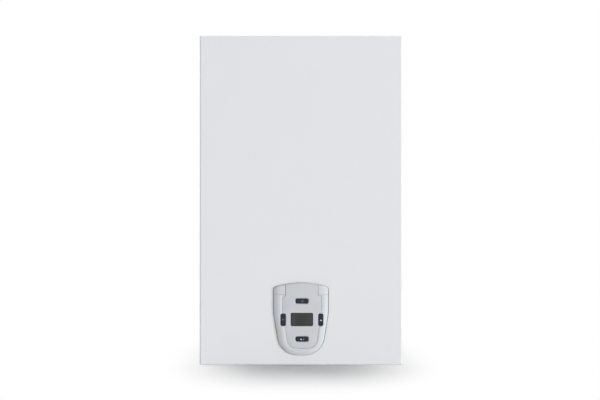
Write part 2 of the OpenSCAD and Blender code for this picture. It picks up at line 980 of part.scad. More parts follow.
module key_cap(v, c) {
  color("midnightblue")
    place() {
      dome(v, deck_p1, key_top_p, 0.9, 1.3);
      lift(deck_p0 - fit_gap, deck_p1)
        outline(v);
      lift(deck_p0 - fit_gap - flange_t, deck_p0 - fit_gap)
        outline(v, -flange_w);
      lift(board_p1 + switch_h + key_travel + fit_gap, deck_p0 - fit_gap - flange_t)
        translate(c)
          circle(r = stem_r);
    }
}

module button_top() {
  key_cap(key_top, key_places[0]);
}

module button_bottom() {
  key_cap(key_bottom, key_places[1]);
}

module button_left() {
  key_cap(key_left, key_places[2]);
}

module button_right() {
  key_cap(key_right, key_places[3]);
}

// Flue and fan

module flue_collar() {
  color("gainsboro")
    place()
      difference() {
        union() {
          upright(0, scroll_mid, casing_h + 1, casing_h + collar_h, air_r + air_t);
          upright(0, scroll_mid, chamber_top - 4, casing_h + 1, air_r + air_t - collar_step);
          upright(0, scroll_mid, casing_h - 2 * frame_t, casing_h - frame_t, flange_r);
          upright(0, scroll_mid, chamber_top, chamber_top + frame_t, flange_r);
        }
        upright(0, scroll_mid, casing_h + 1, casing_h + collar_h + over, air_r);
        upright(0, scroll_mid, chamber_top - 5, casing_h + 2, air_r - collar_step);
      }
}

module exhaust_spigot() {
  color("silver")
    place()
      difference() {
        union() {
          upright(0, scroll_mid, duct_top, spigot_top, exhaust_r + exhaust_t);
          block(
            [-duct_s / 2, -scroll_mid - duct_s / 2, duct_top],
            [duct_s / 2, -scroll_mid + duct_s / 2, duct_top + 1.5]
          );
        }
        upright(0, scroll_mid, duct_top - over, spigot_top + over, exhaust_r);
      }
}

function spiral(e) = [for (a = [60:10:360])
  let (r = scroll_r0 + (scroll_r1 - scroll_r0) * (a - 60) / 300 - e)
  [fan_x + r * cos(a), fan_z + r * sin(a)]];

// The scroll's outline with its square outlet, moved inwards by e
module scroll(e, more) {
  polygon(spiral(e));
  translate([-duct_s / 2 + e, fan_z])
    square([duct_s - 2 * e, duct_top - fan_z + more]);
}

module slot_outline(y0, y1) {
  translate([0, -y0, 0])
    rotate([90, 0, 0])
      linear_extrude(height = y1 - y0)
        children();
}

module fan_housing() {
  color("silver")
    place()
      difference() {
        slot_outline(scroll_back, scroll_front)
          scroll(0, 0);
        slot_outline(scroll_back + scroll_t, scroll_front - scroll_t)
          scroll(scroll_t, over);
        forward(fan_x, fan_z, scroll_back - over, scroll_back + scroll_t + over, eye_r);
        forward(fan_x, fan_z, scroll_front - scroll_t - over, scroll_front + over, shaft_r + 3);
      }
}

// One forward-curved blade, drawn as an arc between the inner and outer radius
function blade_side(r) = [for (k = [0:4])
  let (t = k / 4)
  [r * cos(150 - 75 * t), r * sin(150 - 75 * t)]];

module blade() {
  outer = blade_side(9);
  inner = blade_side(9 - blade_t);
  translate([impeller_r - 9, -6])
    polygon(concat(outer, [for (k = [4:-1:0]) inner[k]]));
}

module fan_impeller() {
  y0 = scroll_mid - impeller_w / 2;
  y1 = scroll_mid + impeller_w / 2;
  color("lightgray")
    place()
      difference() {
        union() {
          forward(fan_x, fan_z, y1 - 1.5, y1, impeller_r);
          forward(fan_x, fan_z, y1 - 16, y1, hub_r);
          translate([fan_x, -y0, fan_z])
            rotate([90, 0, 0]) {
              difference() {
                cylinder(h = 1.5, r = impeller_r);
                translate([0, 0, -over])
                  cylinder(h = 1.5 + 2 * over, r = impeller_r - 10);
              }
              for (k = [0:blade_count - 1])
                rotate([0, 0, k * 360 / blade_count])
                  translate([0, 0, 0.7])
                    linear_extrude(height = impeller_w - 1.5)
                      blade();
            }
        }
        forward(fan_x, fan_z, y1 - 16 - over, y1 + over, shaft_r + tube_gap);
      }
}

module fan_shaft() {
  color("silver")
    place()
      forward(
        fan_x, fan_z,
        scroll_mid + impeller_w / 2 - 18,
        scroll_front + motor_l - 4,
        shaft_r
      );
}

module fan_motor() {
  y1 = scroll_front + motor_l;
  color("dimgray")
    place()
      difference() {
        union() {
          forward(fan_x, fan_z, scroll_front, scroll_front + 2, motor_r + 5);
          forward(fan_x, fan_z, scroll_front, y1 - 8, motor_r);
          forward(fan_x, fan_z, scroll_front, y1, motor_r * 0.6);
          for (k = [0:11])
            translate([fan_x, -scroll_front - 4, fan_z])
              rotate([90, 0, 0])
                rotate([0, 0, k * 30 + 15])
                  translate([motor_r - 1, -1, 0])
                    cube([2.6, 2, motor_l - 16]);
        }
        forward(fan_x, fan_z, scroll_front - over, y1 - 3, shaft_r + tube_gap);
      }
}

// Combustion chamber

module chamber_shell(e) {
  block(
    [-chamber_w / 2 + e, -chamber_front - (e > 0 ? over : 0), chamber_z + e],
    [chamber_w / 2 - e, -chamber_back - e, chamber_top - e]
  );
}

module rim_frame(y0, y1, inner) {
  w = chamber_w / 2 + rim_w;
  v = chamber_w / 2 - inner;
  difference() {
    block([-w, -y1, chamber_z - rim_w], [w, -y0, chamber_top + rim_w]);
    block([-v, -y1 - over, chamber_z + inner], [v, -y0 + over, chamber_top - inner]);
  }
}

module chamber_box() {
  color("silver")
    place()
      difference() {
        union() {
          chamber_shell(0);
          block(
            [-chamber_w / 2 - rim_w, -chamber_front, chamber_z - rim_w],
            [chamber_w / 2 + rim_w, -chamber_front + chamber_t, chamber_top + rim_w]
          );
          for (s = [0, 1])
            mirror([s, 0, 0])
              block(
                [chamber_w / 2 - 20, -chamber_back, chamber_z + 20],
                [chamber_w / 2 - 5, -panel_back_y, chamber_top - 20]
              );
        }
        chamber_shell(chamber_t);
        upright(0, scroll_mid, chamber_top - 3, chamber_top + over, air_r + air_t + tube_gap);
        upright(water_x, cold_y, chamber_z - over, chamber_z + 3, tube_r + 0.5);
        upright(-water_x, hot_y, chamber_z - over, chamber_z + 3, tube_r + 0.5);
        upright(0, gas_y, chamber_z - over, chamber_z + 3, gas_pipe_r + 0.5);
        upright(lead_x, lead_y, chamber_z - over, chamber_z + 3, lead_r + tube_gap);
      }
}

module chamber_seal() {
  color("dimgray")
    place()
      rim_frame(chamber_front, chamber_front + seal_t, 0);
}

module chamber_lid() {
  y0 = chamber_front + seal_t;
  w = chamber_w / 2 + rim_w;
  z = chamber_top + chamber_z;
  color("silver")
    place()
      difference() {
        union() {
          block([-w, -y0 - chamber_t, chamber_z - rim_w], [w, -y0, chamber_top + rim_w]);
          forward(0, electrode_z, y0, y0 + chamber_t + 3, sight_r + 5);
        }
        forward(0, electrode_z, y0 - over, y0 + chamber_t + 5, sight_r - 3);
        forward(0, electrode_z, y0 + chamber_t, y0 + chamber_t + 5, sight_r + tube_gap);
      }
}

module sight_glass() {
  y0 = chamber_front + seal_t + chamber_t;
  color("lightblue")
    place()
      forward(0, electrode_z, y0, y0 + 2.5, sight_r);
}

module hood_form(e) {
  w = jacket_w / 2 - e;
  riser = scroll_r0 + 2 - e;
  hull() {
    block(
      [-w, -jacket_front + e, jacket_top - (e > 0 ? over : 0)],
      [w, -jacket_back - e, jacket_top + 4]
    );
    block(
      [-w + 8, -jacket_front + 8 + e, jacket_top + 4],
      [w - 8, -jacket_back - e, hood_top - e]
    );
  }
  block(
    [fan_x - riser, -scroll_back + e, jacket_top + 4 + e],
    [fan_x + riser, -scroll_back + 42 - e, fan_z + riser]
  );
}

module flue_hood() {
  color("silver")
    place()
      difference() {
        hood_form(0);
        hood_form(jacket_t);
        forward(fan_x, fan_z, scroll_back - jacket_t - over, scroll_back + over, eye_r);
      }
}

module overheat_switch() {
  x = fan_x + scroll_r0 + 2;
  color("dimgray")
    place() {
      across(scroll_back - 21, fan_z, x, x + 1, 12);
      across(scroll_back - 21, fan_z, x + 1, x + 9, 8);
    }
}

function tube_y(i) = jacket_y + (i - (tube_count - 1) / 2) * tube_pitch;
cold_y = tube_y(0);
hot_y = tube_y(tube_count - 1);
gas_y = (manifold_back + manifold_front) / 2;
lead_x = jacket_w / 2 + 10;
lead_y = jacket_front + 22;
lead_r = 2.5;
box_y0 = hot_y + tube_r + 2;

module tube_holes(x0, x1) {
  for (i = [0:tube_count - 1])
    across(tube_y(i), tube_z, x0, x1, tube_r + tube_gap);
}

module combustion_jacket() {
  w = jacket_w / 2;
  color("peru")
    place()
      difference() {
        block([-w, -jacket_front, burner_top], [w, -jacket_back, jacket_top]);
        block(
          [-w + jacket_t, -jacket_front + jacket_t, burner_top - over],
          [w - jacket_t, -jacket_back - jacket_t, jacket_top + over]
        );
        tube_holes(-w - over, w + over);
        for (x = electrode_xs)
          forward(x, electrode_z, jacket_front - 3, jacket_front + over, electrode_r + tube_gap);
      }
}

module exchanger_fins() {
  pitch = (jacket_w - 2 * jacket_t - 8) / (fin_count - 1);
  half = jacket_d / 2 - jacket_t - fit_gap;
  color("peru")
    place()
      for (k = [0:fin_count - 1])
        translate([(k - (fin_count - 1) / 2) * pitch, 0, 0])
          difference() {
            block(
              [-fin_t / 2, -jacket_y - half, tube_z - fin_h / 2],
              [fin_t / 2, -jacket_y + half, tube_z + fin_h / 2]
            );
            tube_holes(-over, over);
          }
}

module tube_coil(r, more) {
  w = jacket_w / 2 + 3;
  for (i = [0:tube_count - 1])
    across(
      tube_y(i), tube_z,
      i == tube_count - 1 ? -tube_end - more : -w,
      i == 0 ? tube_end + more : w,
      r
    );
  for (i = [0:tube_count - 2])
    translate([(i % 2 == 0 ? -1 : 1) * w, -(tube_y(i) + tube_pitch / 2), tube_z])
      rotate([0, 0, i % 2 == 0 ? 90 : -90])
        rotate_extrude(angle = 180)
          translate([tube_pitch / 2, 0])
            circle(r = r);
}

module exchanger_tubes() {
  color("peru")
    place()
      difference() {
        tube_coil(tube_r, 0);
        tube_coil(tube_r - tube_t, over);
      }
}

module burner_frame() {
  w = jacket_w / 2;
  floor_z = chamber_z + chamber_t;
  color("silver")
    place()
      difference() {
        union() {
          difference() {
            block([-w, -jacket_front, burner_z], [w, -jacket_back, burner_top]);
            block(
              [-w + jacket_t, -jacket_front + jacket_t, burner_z - over],
              [w - jacket_t, -jacket_back - jacket_t, burner_top + over]
            );
          }
          for (y = [jacket_back + 20, jacket_front - 20])
            block([-w, -y - 6, burner_z], [w, -y + 6, burner_z + rail_h]);
          for (s = [0, 1])
            mirror([s, 0, 0])
              for (y = [jacket_back, jacket_front - 24]) {
                block([w - jacket_t, -y - 24, floor_z], [w, -y, burner_z + over]);
                block([w - jacket_t, -y - 24, floor_z], [w + 14, -y, floor_z + jacket_t]);
              }
        }
        for (k = [0:bar_count - 1])
          forward(bar_x(k), throat_z, jacket_front - 3, jacket_front + over, throat_r + tube_gap);
      }
}

function bar_x(k) = (k - (bar_count - 1) / 2) * bar_pitch;

module burner_bar() {
  y0 = jacket_back + 8;
  y1 = jacket_front - 6;
  slot_pitch = (y1 - y0 - 12) / slot_count;
  difference() {
    union() {
      block([-bar_t / 2, -y1, bar_z], [bar_t / 2, -y0, bar_z + bar_h]);
      forward(0, throat_z, y1 - over, throat_front, throat_r);
    }
    for (k = [0:slot_count - 1])
      block(
        [-bar_t / 2 + 1.5, -y0 - 6 - (k + 0.72) * slot_pitch, bar_z + bar_h - 3],
        [bar_t / 2 - 1.5, -y0 - 6 - (k + 0.28) * slot_pitch, bar_z + bar_h + over]
      );
    forward(0, throat_z, y1 - 20, throat_front + over, throat_r - 1);
  }
}

module burner_bars() {
  color("lightsteelblue")
    place()
      for (k = [0:bar_count - 1])
        translate([bar_x(k), 0, 0])
          burner_bar();
}

module gas_manifold() {
  w = jacket_w / 2;
  h = manifold_s / 2;
  color("silver")
    place()
      difference() {
        union() {
          block([-w + 2, -manifold_front, throat_z - h], [w - 2, -manifold_back, throat_z + h]);
          for (s = [0, 1])
            mirror([s, 0, 0])
              block([w - 4, -manifold_front, throat_z - h], [w - 2, -jacket_front, throat_z + h]);
        }
        across(gas_y, throat_z, -w + 6, w - 6, h - 3);
        upright(0, gas_y, throat_z - h - over, throat_z, gas_pipe_r - 1.5);
      }
}

module gas_injectors() {
  color("goldenrod")
    place()
      for (k = [0:bar_count - 1])
        translate([bar_x(k), -manifold_back, throat_z])
          rotate([-90, 0, 0])
            rotate_extrude()
              polygon([
                [0.5, 0], [3.5, 0], [3.5, injector_l * 0.5],
                [2, injector_l * 0.8], [1.2, injector_l], [0.5, injector_l]
              ]);
}

module electrode_insulators() {
  color("white")
    place()
      for (x = electrode_xs)
        difference() {
          union() {
            forward(x, electrode_z, jacket_front - 8, jacket_front + 12, electrode_r);
            forward(x, electrode_z, jacket_front, jacket_front + 3, electrode_r + 2.5);
          }
          forward(x, electrode_z, jacket_front - 9, jacket_front + 13, rod_r + tube_gap);
        }
}

module electrode_rods() {
  color("silver")
    place()
      for (x = electrode_xs) {
        forward(x, electrode_z, jacket_front - 30, jacket_front + 14, rod_r);
      }
}

module air_switch() {
  x1 = chamber_w / 2 - chamber_t;
  x0 = x1 - air_switch_w;
  color("whitesmoke")
    place() {
      across(switch_y, switch_z, x0 + 8, x1, switch_r);
      across(switch_y, switch_z, x0 + 4, x0 + 8, switch_r * 0.7);
      across(switch_y, switch_z, x0, x0 + 4, hose_r - 1);
    }
}

module sensing_tube() {
  x1 = chamber_w / 2 - chamber_t - air_switch_w;
  color("silver")
    place()
      pipe([
        [x1, -switch_y, switch_z],
        [duct_s / 2 + 24, -switch_y, switch_z],
        [duct_s / 2 + 24, -scroll_mid, switch_z],
        [duct_s / 2, -scroll_mid, switch_z]
      ], hose_r, 1, 6);
}

// Gas and water

module gas_inlet_fitting() {
  z0 = bottom_recess - stub_l;
  z1 = bottom_recess + frame_t;
  color("goldenrod")
    place()
      difference() {
        union() {
          upright(0, connect_y, z0, bottom_recess - thread_relief, gas_thread_r);
          upright(0, connect_y, z0, valve_z0, gas_thread_r - thread_cut);
          upright(0, connect_y, z1, z1 + shoulder_h, gas_thread_r + shoulder_w);
        }
        upright(0, connect_y, z0 - over, valve_z0 + over, gas_thread_r - 3.5);
      }
}

module gas_valve_body() {
  z1 = valve_z0 + valve_h;
  coil_z = valve_z0 + valve_h / 2;
  color("silver")
    place()
      difference() {
        union() {
          block([-valve_half, -connect_y - 26, valve_z0], [valve_half, -connect_y + 26, z1]);
          upright(0, connect_y, z1, z1 + 5, gas_pipe_r + 5);
          across(connect_y, coil_z, -valve_half - 5, valve_half + 5, 7);
        }
        upright(0, connect_y, valve_z0 - over, z1 + 5 + over, gas_pipe_r - 1.5);
        for (s = [-1, 1])
          forward(s * coil_x, coil_z, connect_y + 22, connect_y + 27, armature_r + armature_gap);
      }
}

module gas_valve_coils() {
  y0 = connect_y + 26;
  coil_z = valve_z0 + valve_h / 2;
  color("black")
    place()
      for (s = [-1, 1])
        difference() {
          forward(s * coil_x, coil_z, y0, y0 + coil_l, coil_r);
          forward(s * coil_x, coil_z, y0 - over, y0 + coil_l - 3, armature_r + armature_gap);
        }
}

module valve_armatures() {
  y0 = connect_y + 26 - 2;
  coil_z = valve_z0 + valve_h / 2;
  color("silver")
    place()
      for (s = [-1, 1])
        forward(
          s * coil_x, coil_z,
          y0,
          y0 + coil_l - 1 - fit_gap - valve_stroke,
          armature_r
        );
}

module gas_feed_pipe() {
  z0 = valve_z0 + valve_h + 5;
  z1 = throat_z - manifold_s / 2;
  color("silver")
    place()
      pipe([
        [0, -connect_y, z0],
        [0, -connect_y, z0 + 38],
        [0, -gas_y, z0 + 38],
        [0, -gas_y, z1]
      ], gas_pipe_r, 1.5, pipe_bend);
}

module water_fitting(x) {
  z0 = bottom_recess - stub_l;
  z1 = bottom_recess + frame_t;
  upright(x, connect_y, z0, bottom_recess - thread_relief, water_thread_r);
  upright(x, connect_y, z0, z1, water_thread_r - thread_cut);
  upright(x, connect_y, z1, z1 + shoulder_h, water_thread_r + shoulder_w);
  upright(x, connect_y, z1, fitting_top, water_thread_r + 1.5);
}

module cold_inlet_fitting() {
  z0 = bottom_recess - stub_l;
  arm_z = bottom_recess + frame_t + 26;
  color("goldenrod")
    place()
      difference() {
        union() {
          water_fitting(water_x);
          across(connect_y, arm_z, water_x, drain_x + 11, 9);
          upright(drain_x, drain_y, bottom_recess + frame_t + 4, arm_z, 11);
        }
        upright(water_x, connect_y, z0 - over, fitting_top + over, water_thread_r - 2.5);
        across(connect_y, arm_z, water_x, drain_x, 5);
        upright(drain_x, drain_y, bottom_recess + frame_t, arm_z, 7 + tube_gap);
      }
}

module inlet_filter() {
  z0 = bottom_recess + frame_t + 4;
  r = water_thread_r - 2.5 - 0.1;
  color("white")
    place()
      difference() {
        upright(water_x, connect_y, z0, z0 + 12, r);
        upright(water_x, connect_y, z0 + 1.5, z0 + 12 + over, r - 1.2);
        for (k = [0:7])
          translate([water_x, -connect_y, z0 + 3.5])
            rotate([0, 0, k * 45])
              translate([0, -1, 0])
                cube([r + over, 2, 6]);
      }
}

module drain_plug() {
  z0 = bottom_recess - 12;
  color("goldenrod")
    place()
      difference() {
        union() {
          upright(drain_x, drain_y, z0, bottom_recess + frame_t + 4, 9);
          upright(drain_x, drain_y, z0, bottom_recess + frame_t + 16, 7);
        }
        block([drain_x - 10, -drain_y - 1, z0 - over], [drain_x + 10, -drain_y + 1, z0 + 2.5]);
      }
}

module spider(z) {
  for (a = [0, 90])
    translate([water_x, -connect_y, z])
      rotate([0, 0, a])
        translate([-turbine_r - 2, -1.25, 0])
          cube([2 * turbine_r + 4, 2.5, 3]);
  upright(water_x, connect_y, z, z + 3, 3.5);
}

turbine_z = fitting_top + 18;
turbine_h = 14;
pin_r = 1.5;

module flow_sensor_body() {
  z1 = fitting_top + sensor_h;
  color("dimgray")
    place()
      difference() {
        union() {
          difference() {
            union() {
              upright(water_x, connect_y, fitting_top, z1, sensor_r);
              block(
                [water_x - 9, -connect_y - sensor_r - 4, turbine_z - 2],
                [water_x + 9, -connect_y - turbine_r - 3, turbine_z + turbine_h + 2]
              );
            }
            upright(water_x, connect_y, fitting_top - over, z1 - 10, turbine_r + 0.5);
            upright(water_x, connect_y, fitting_top, z1 + over, tube_r - tube_t);
          }
          spider(turbine_z - fit_gap - 3);
          spider(turbine_z + turbine_h + fit_gap);
        }
        upright(
          water_x, connect_y,
          turbine_z - fit_gap - 4, turbine_z + turbine_h + fit_gap + 4, pin_r + tube_gap
        );
      }
}

module flow_turbine() {
  color("whitesmoke")
    place() {
      upright(water_x, connect_y, turbine_z, turbine_z + turbine_h, 4);
      upright(water_x, connect_y, turbine_z - 2.5, turbine_z + turbine_h + 2.5, pin_r);
      for (k = [0:turbine_blades - 1])
        translate([water_x, -connect_y, turbine_z + 1])
          rotate([0, 0, k * 360 / turbine_blades])
            translate([2, -0.6, 0])
              cube([turbine_r - 2, 1.2, turbine_h - 2]);
    }
}

module union_nut(s, y) {
  translate([s * (tube_end - nut_l / 2), -y, tube_z])
    rotate([0, 90, 0])
      difference() {
        cylinder(h = nut_l, r = nut_r, center = true);
        cylinder(h = nut_l + over, r = tube_r + tube_gap, center = true);
      }
  translate([s * (tube_end + 1), -y, tube_z])
    rotate([0, 90, 0])
      difference() {
        cylinder(h = 2, r = nut_r, center = true);
        cylinder(h = 2 + over, r = tube_r - tube_t / 2, center = true);
      }
}

module cold_pipe() {
  color("peru")
    place() {
      pipe([
        [water_x, -connect_y, fitting_top + sensor_h],
        [water_x, -connect_y, jog_z],
        [water_x, -cold_y, jog_z],
        [water_x, -cold_y, tube_z],
        [tube_end, -cold_y, tube_z]
      ], tube_r, tube_t, pipe_bend);
      union_nut(1, cold_y);
    }
}

module hot_pipe() {
  color("peru")
    place() {
      pipe([
        [-water_x, -connect_y, fitting_top],
        [-water_x, -connect_y, jog_z],
        [-water_x, -hot_y, jog_z],
        [-water_x, -hot_y, tube_z],
        [-tube_end, -hot_y, tube_z]
      ], tube_r, tube_t, pipe_bend);
      union_nut(-1, hot_y);
    }
}

module hot_outlet_fitting() {
  z0 = bottom_recess - stub_l;
  color("goldenrod")
    place()
      difference() {
        water_fitting(-water_x);
        upright(-water_x, connect_y, z0 - over, fitting_top + over, tube_r - tube_t);
      }
}

module temperature_sensor() {
  z = fitting_top + 30;
  color("black")
    place()
      difference() {
        union() {
          upright(-water_x, connect_y, z, z + clip_h, tube_r + 3.2);
          block(
            [-water_x - 4, -connect_y + tube_r, z],
            [-water_x + 4, -connect_y + tube_r + 14, z + clip_h]
          );
        }
        upright(-water_x, connect_y, z - over, z + clip_h + over, tube_r + tube_gap);
      }
}

// Electronics

module electronics_box() {
  z1 = chamber_z;
  z0 = z1 - box_h;
  color("dimgray")
    place()
      difference() {
        block([box_x0, -box_y0 - box_d, z0], [box_x0 + box_w, -box_y0, z1]);
        block(
          [box_x0 + box_t, -box_y0 - box_d - over, z0 + box_t],
          [box_x0 + box_w - box_t, -box_y0 - box_t, z1 - box_t]
        );
      }
}

module electronics_lid() {
  z1 = chamber_z;
  z0 = z1 - box_h;
  y = box_y0 + box_d;
  color("gray")
    place() {
      block([box_x0, -y - box_t, z0], [box_x0 + box_w, -y, z1 - rim_w - 2]);
    }
}

module main_board() {
  z0 = chamber_z - box_h + box_t + 6;
  z1 = chamber_z - box_t - 6;
  y = box_y0 + box_t + 6;
  x0 = box_x0 + box_t + 4;
  x1 = box_x0 + box_w - box_t - 4;
  color("darkgreen")
    place() {
      block([x0, -y - board_t, z0], [x1, -y, z1]);
      for (x = [x0 + 6, x1 - 6])
        for (z = [z0 + 6, z1 - 6])
          forward(x, z, box_y0 + box_t, y, boss_r);
      block([x0 + 8, -y - board_t - 22, z0 + 16], [x0 + 42, -y - board_t, z0 + 46]);
      for (k = [0:2])
        block([x0 + 54, -y - board_t - 14, z0 + 16 + k * 22], [x0 + 74, -y - board_t, z0 + 32 + k * 22]);
      for (k = [0:2])
        forward(x0 + 18 + k * 14, z0 + 70, y + board_t, y + board_t + 18, 5);
      for (k = [0:4])
        block([x0 + 8 + k * 16, -y - board_t - 9, z1 - 18], [x0 + 19 + k * 16, -y - board_t, z1 - 10]);
    }
}

module igniter_unit() {
  x0 = lead_x - 30;
  color("black")
    place() {
      block([x0, -box_y0 - box_d, chamber_z - 34], [x0 + 44, -box_y0, chamber_z]);
      block([x0 + 6, -box_y0 - 26, chamber_z - 42], [x0 + 20, -box_y0 - 8, chamber_z - 34]);
    }
}

module ignition_lead() {
  color("firebrick")
    place()
      run([
        [lead_x, -lead_y, chamber_z],
        [lead_x, -lead_y, electrode_z],
        [electrode_xs[0], -lead_y, electrode_z],
        [electrode_xs[0], -jacket_front - 14, electrode_z]
      ], lead_r, 4);
}

module display_cable() {
  z = chamber_z - box_h + cable_lift;
  y = box_y0 + box_d / 2;
  x = box_x0 + box_w;
  color("gray")
    place()
      run([
        [x, -y, z],
        [-30, -y, z],
        [-30, -casing_d - board_p0, z]
      ], 2.2, 6);
}

module cable_gland() {
  z1 = bottom_recess + frame_t;
  color("dimgray")
    place()
      difference() {
        union() {
          upright(-cable_x, cable_y, bottom_recess - 12, z1 + 10, cable_r + 4);
          upright(-cable_x, cable_y, bottom_recess - 6, bottom_recess, cable_r + 7);
          upright(-cable_x, cable_y, z1, z1 + 5, cable_r + 7);
        }
        upright(-cable_x, cable_y, bottom_recess - 12 - over, z1 + 10 + over, cable_r);
      }
}

wall_bracket();
back_panel();
top_plate();
bottom_plate();
front_cover();
case_screws();
panel_housing();
panel_bezel();
panel_fascia();
lcd_window();
lcd_module();
display_board();
button_top();
button_left();
button_right();
button_bottom();
flue_collar();
exhaust_spigot();
fan_housing();
fan_impeller();
fan_shaft();
fan_motor();
chamber_box();
chamber_lid();
chamber_seal();
sight_glass();
flue_hood();
overheat_switch();
combustion_jacket();
exchanger_fins();
exchanger_tubes();
burner_frame();
burner_bars();
gas_manifold();
gas_injectors();
electrode_insulators();
electrode_rods();
air_switch();
sensing_tube();
gas_inlet_fitting();
gas_valve_body();
gas_valve_coils();
valve_armatures();
gas_feed_pipe();
cold_inlet_fitting();
inlet_filter();
drain_plug();
flow_sensor_body();
flow_turbine();
cold_pipe();
hot_pipe();
hot_outlet_fitting();
temperature_sensor();
electronics_box();
electronics_lid();
main_board();
igniter_unit();
ignition_lead();
display_cable();
cable_gland();
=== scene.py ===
import json
import math

import bmesh
import bpy
from mathutils import Matrix, Vector


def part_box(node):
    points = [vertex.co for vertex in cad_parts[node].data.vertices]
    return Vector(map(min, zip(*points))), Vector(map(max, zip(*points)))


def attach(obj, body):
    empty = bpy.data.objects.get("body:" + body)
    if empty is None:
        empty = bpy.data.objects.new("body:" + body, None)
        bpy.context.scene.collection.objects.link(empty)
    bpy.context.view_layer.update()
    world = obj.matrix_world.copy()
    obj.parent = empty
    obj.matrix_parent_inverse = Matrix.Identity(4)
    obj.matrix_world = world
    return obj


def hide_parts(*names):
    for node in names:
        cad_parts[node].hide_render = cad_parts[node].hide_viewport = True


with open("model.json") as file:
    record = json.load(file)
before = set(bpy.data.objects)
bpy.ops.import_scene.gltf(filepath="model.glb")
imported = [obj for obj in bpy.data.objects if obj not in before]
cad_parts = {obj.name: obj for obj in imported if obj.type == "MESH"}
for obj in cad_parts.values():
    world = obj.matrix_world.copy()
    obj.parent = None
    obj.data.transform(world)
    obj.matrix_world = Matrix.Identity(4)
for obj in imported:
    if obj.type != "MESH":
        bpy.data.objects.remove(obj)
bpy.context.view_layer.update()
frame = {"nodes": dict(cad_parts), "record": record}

nodes = frame["nodes"]

# Sizes of the front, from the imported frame, in metres
cover_lo, cover_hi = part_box("front_cover")
face_y = cover_lo.y
foot_z = cover_lo.z
middle_z = (cover_lo.z + cover_hi.z) / 2


# Node tools

def new_material(name):
    """A material with only its shader and its output, and the object's coordinates"""
    m = bpy.data.materials.new(name)
    m.use_nodes = True
    tree = m.node_tree
    shader = tree.nodes["Principled BSDF"]
    where = tree.nodes.new("ShaderNodeTexCoord").outputs["Object"]
    return m, tree, shader, where


def noise(tree, where, scale, detail=3.0, rough=0.5, stretch=None):
    """A noise texture's factor; stretch is the scale along each axis"""
    if stretch:
        mapping = tree.nodes.new("ShaderNodeMapping")
        mapping.inputs["Scale"].default_value = stretch
        tree.links.new(where, mapping.inputs["Vector"])
        where = mapping.outputs["Vector"]
    n = tree.nodes.new("ShaderNodeTexNoise")
    n.inputs["Scale"].default_value = scale
    n.inputs["Detail"].default_value = detail
    n.inputs["Roughness"].default_value = rough
    tree.links.new(where, n.inputs["Vector"])
    return n.outputs["Fac"]


def spread(tree, value, lo, hi, start=0.3, end=0.7):
    """Maps a texture's usual range to lo..hi"""
    r = tree.nodes.new("ShaderNodeMapRange")
    r.inputs["From Min"].default_value = start
    r.inputs["From Max"].default_value = end
    r.inputs["To Min"].default_value = lo
    r.inputs["To Max"].default_value = hi
    tree.links.new(value, r.inputs["Value"])
    return r.outputs["Result"]


def maths(tree, operation, a, b=None):
    """One step of arithmetic; a and b are numbers or outputs"""
    n = tree.nodes.new("ShaderNodeMath")
    n.operation = operation
    for socket, value in zip(n.inputs, (a, b)):
        if isinstance(value, (int, float)):
            socket.default_value = value
        elif value is not None:
            tree.links.new(value, socket)
    return n.outputs[0]


def axes(tree, where):
    """The X, Y and Z of a point, as outputs"""
    split = tree.nodes.new("ShaderNodeSeparateXYZ")
    tree.links.new(where, split.inputs["Vector"])
    return split.outputs


def mixed(tree, fac, a, b):
    """A colour between a and b by a factor; a and b are colours or outputs"""
    m = tree.nodes.new("ShaderNodeMix")
    m.data_type = "RGBA"
    tree.links.new(fac, m.inputs["Factor"])
    for socket, value in ((m.inputs["A"], a), (m.inputs["B"], b)):
        if isinstance(value, (tuple, list)):
            socket.default_value = (*value, 1.0)
        else:
            tree.links.new(value, socket)
    return m.outputs["Result"]


def bumped(tree, height, strength, distance, below=None):
    """A normal from a height, over another normal where one is given"""
    b = tree.nodes.new("ShaderNodeBump")
    b.inputs["Strength"].default_value = strength
    b.inputs["Distance"].default_value = distance
    tree.links.new(height, b.inputs["Height"])
    if below is not None:
        tree.links.new(below, b.inputs["Normal"])
    return b.outputs["Normal"]


def shade(colour, k):
    """The colour made k times as bright"""
    return tuple(min(1.0, c * k) for c in colour)


def drifting(tree, value, colour, drift):
    """The colour, a little darker or lighter as a texture says"""
    return mixed(tree, spread(tree, value, 0, 1), shade(colour, 1 - drift), shade(colour, 1 + drift))


def moulded(name, colour, rough, grain, drift, strength=0.12, coat=0.0, metal=0.0, gloss=0.5):
    """Moulded or coated surface: a fine grain, and slow drifts of tone and of gloss"""
    m, tree, shader, where = new_material(name)
    slow = noise(tree, where, 22, 4.0)
    fine = noise(tree, where, grain, 2.0)
    tree.links.new(drifting(tree, slow, colour, drift), shader.inputs["Base Color"])
    patches = noise(tree, where, 60, 5.0, 0.6)
    tree.links.new(spread(tree, patches, rough - 0.05, rough + 0.05), shader.inputs["Roughness"])
    tree.links.new(bumped(tree, fine, strength, 0.0004), shader.inputs["Normal"])
    shader.inputs["Metallic"].default_value = metal
    shader.inputs["Coat Weight"].default_value = coat
    shader.inputs["Coat Roughness"].default_value = 0.12
    shader.inputs["Specular IOR Level"].default_value = gloss
    return m


def brushed(name, colour, rough, stretch, scale, strength, drift):
    """Rolled or drawn metal: long streaks in tone, gloss and height"""
    m, tree, shader, where = new_material(name)
    streaks = noise(tree, where, scale, 6.0, 0.65, stretch)
    slow = noise(tree, where, 9, 3.0)
    tree.links.new(drifting(tree, slow, colour, drift), shader.inputs["Base Color"])
    tree.links.new(spread(tree, streaks, rough - 0.08, rough + 0.1), shader.inputs["Roughness"])
    tree.links.new(bumped(tree, streaks, strength, 0.0002), shader.inputs["Normal"])
    shader.inputs["Metallic"].default_value = 1.0
    return m


# Stage: white all round for the camera, metal and glass, and a pale floor that keeps the soft shadow

scene = bpy.context.scene
scene.view_settings.view_transform = "Standard"


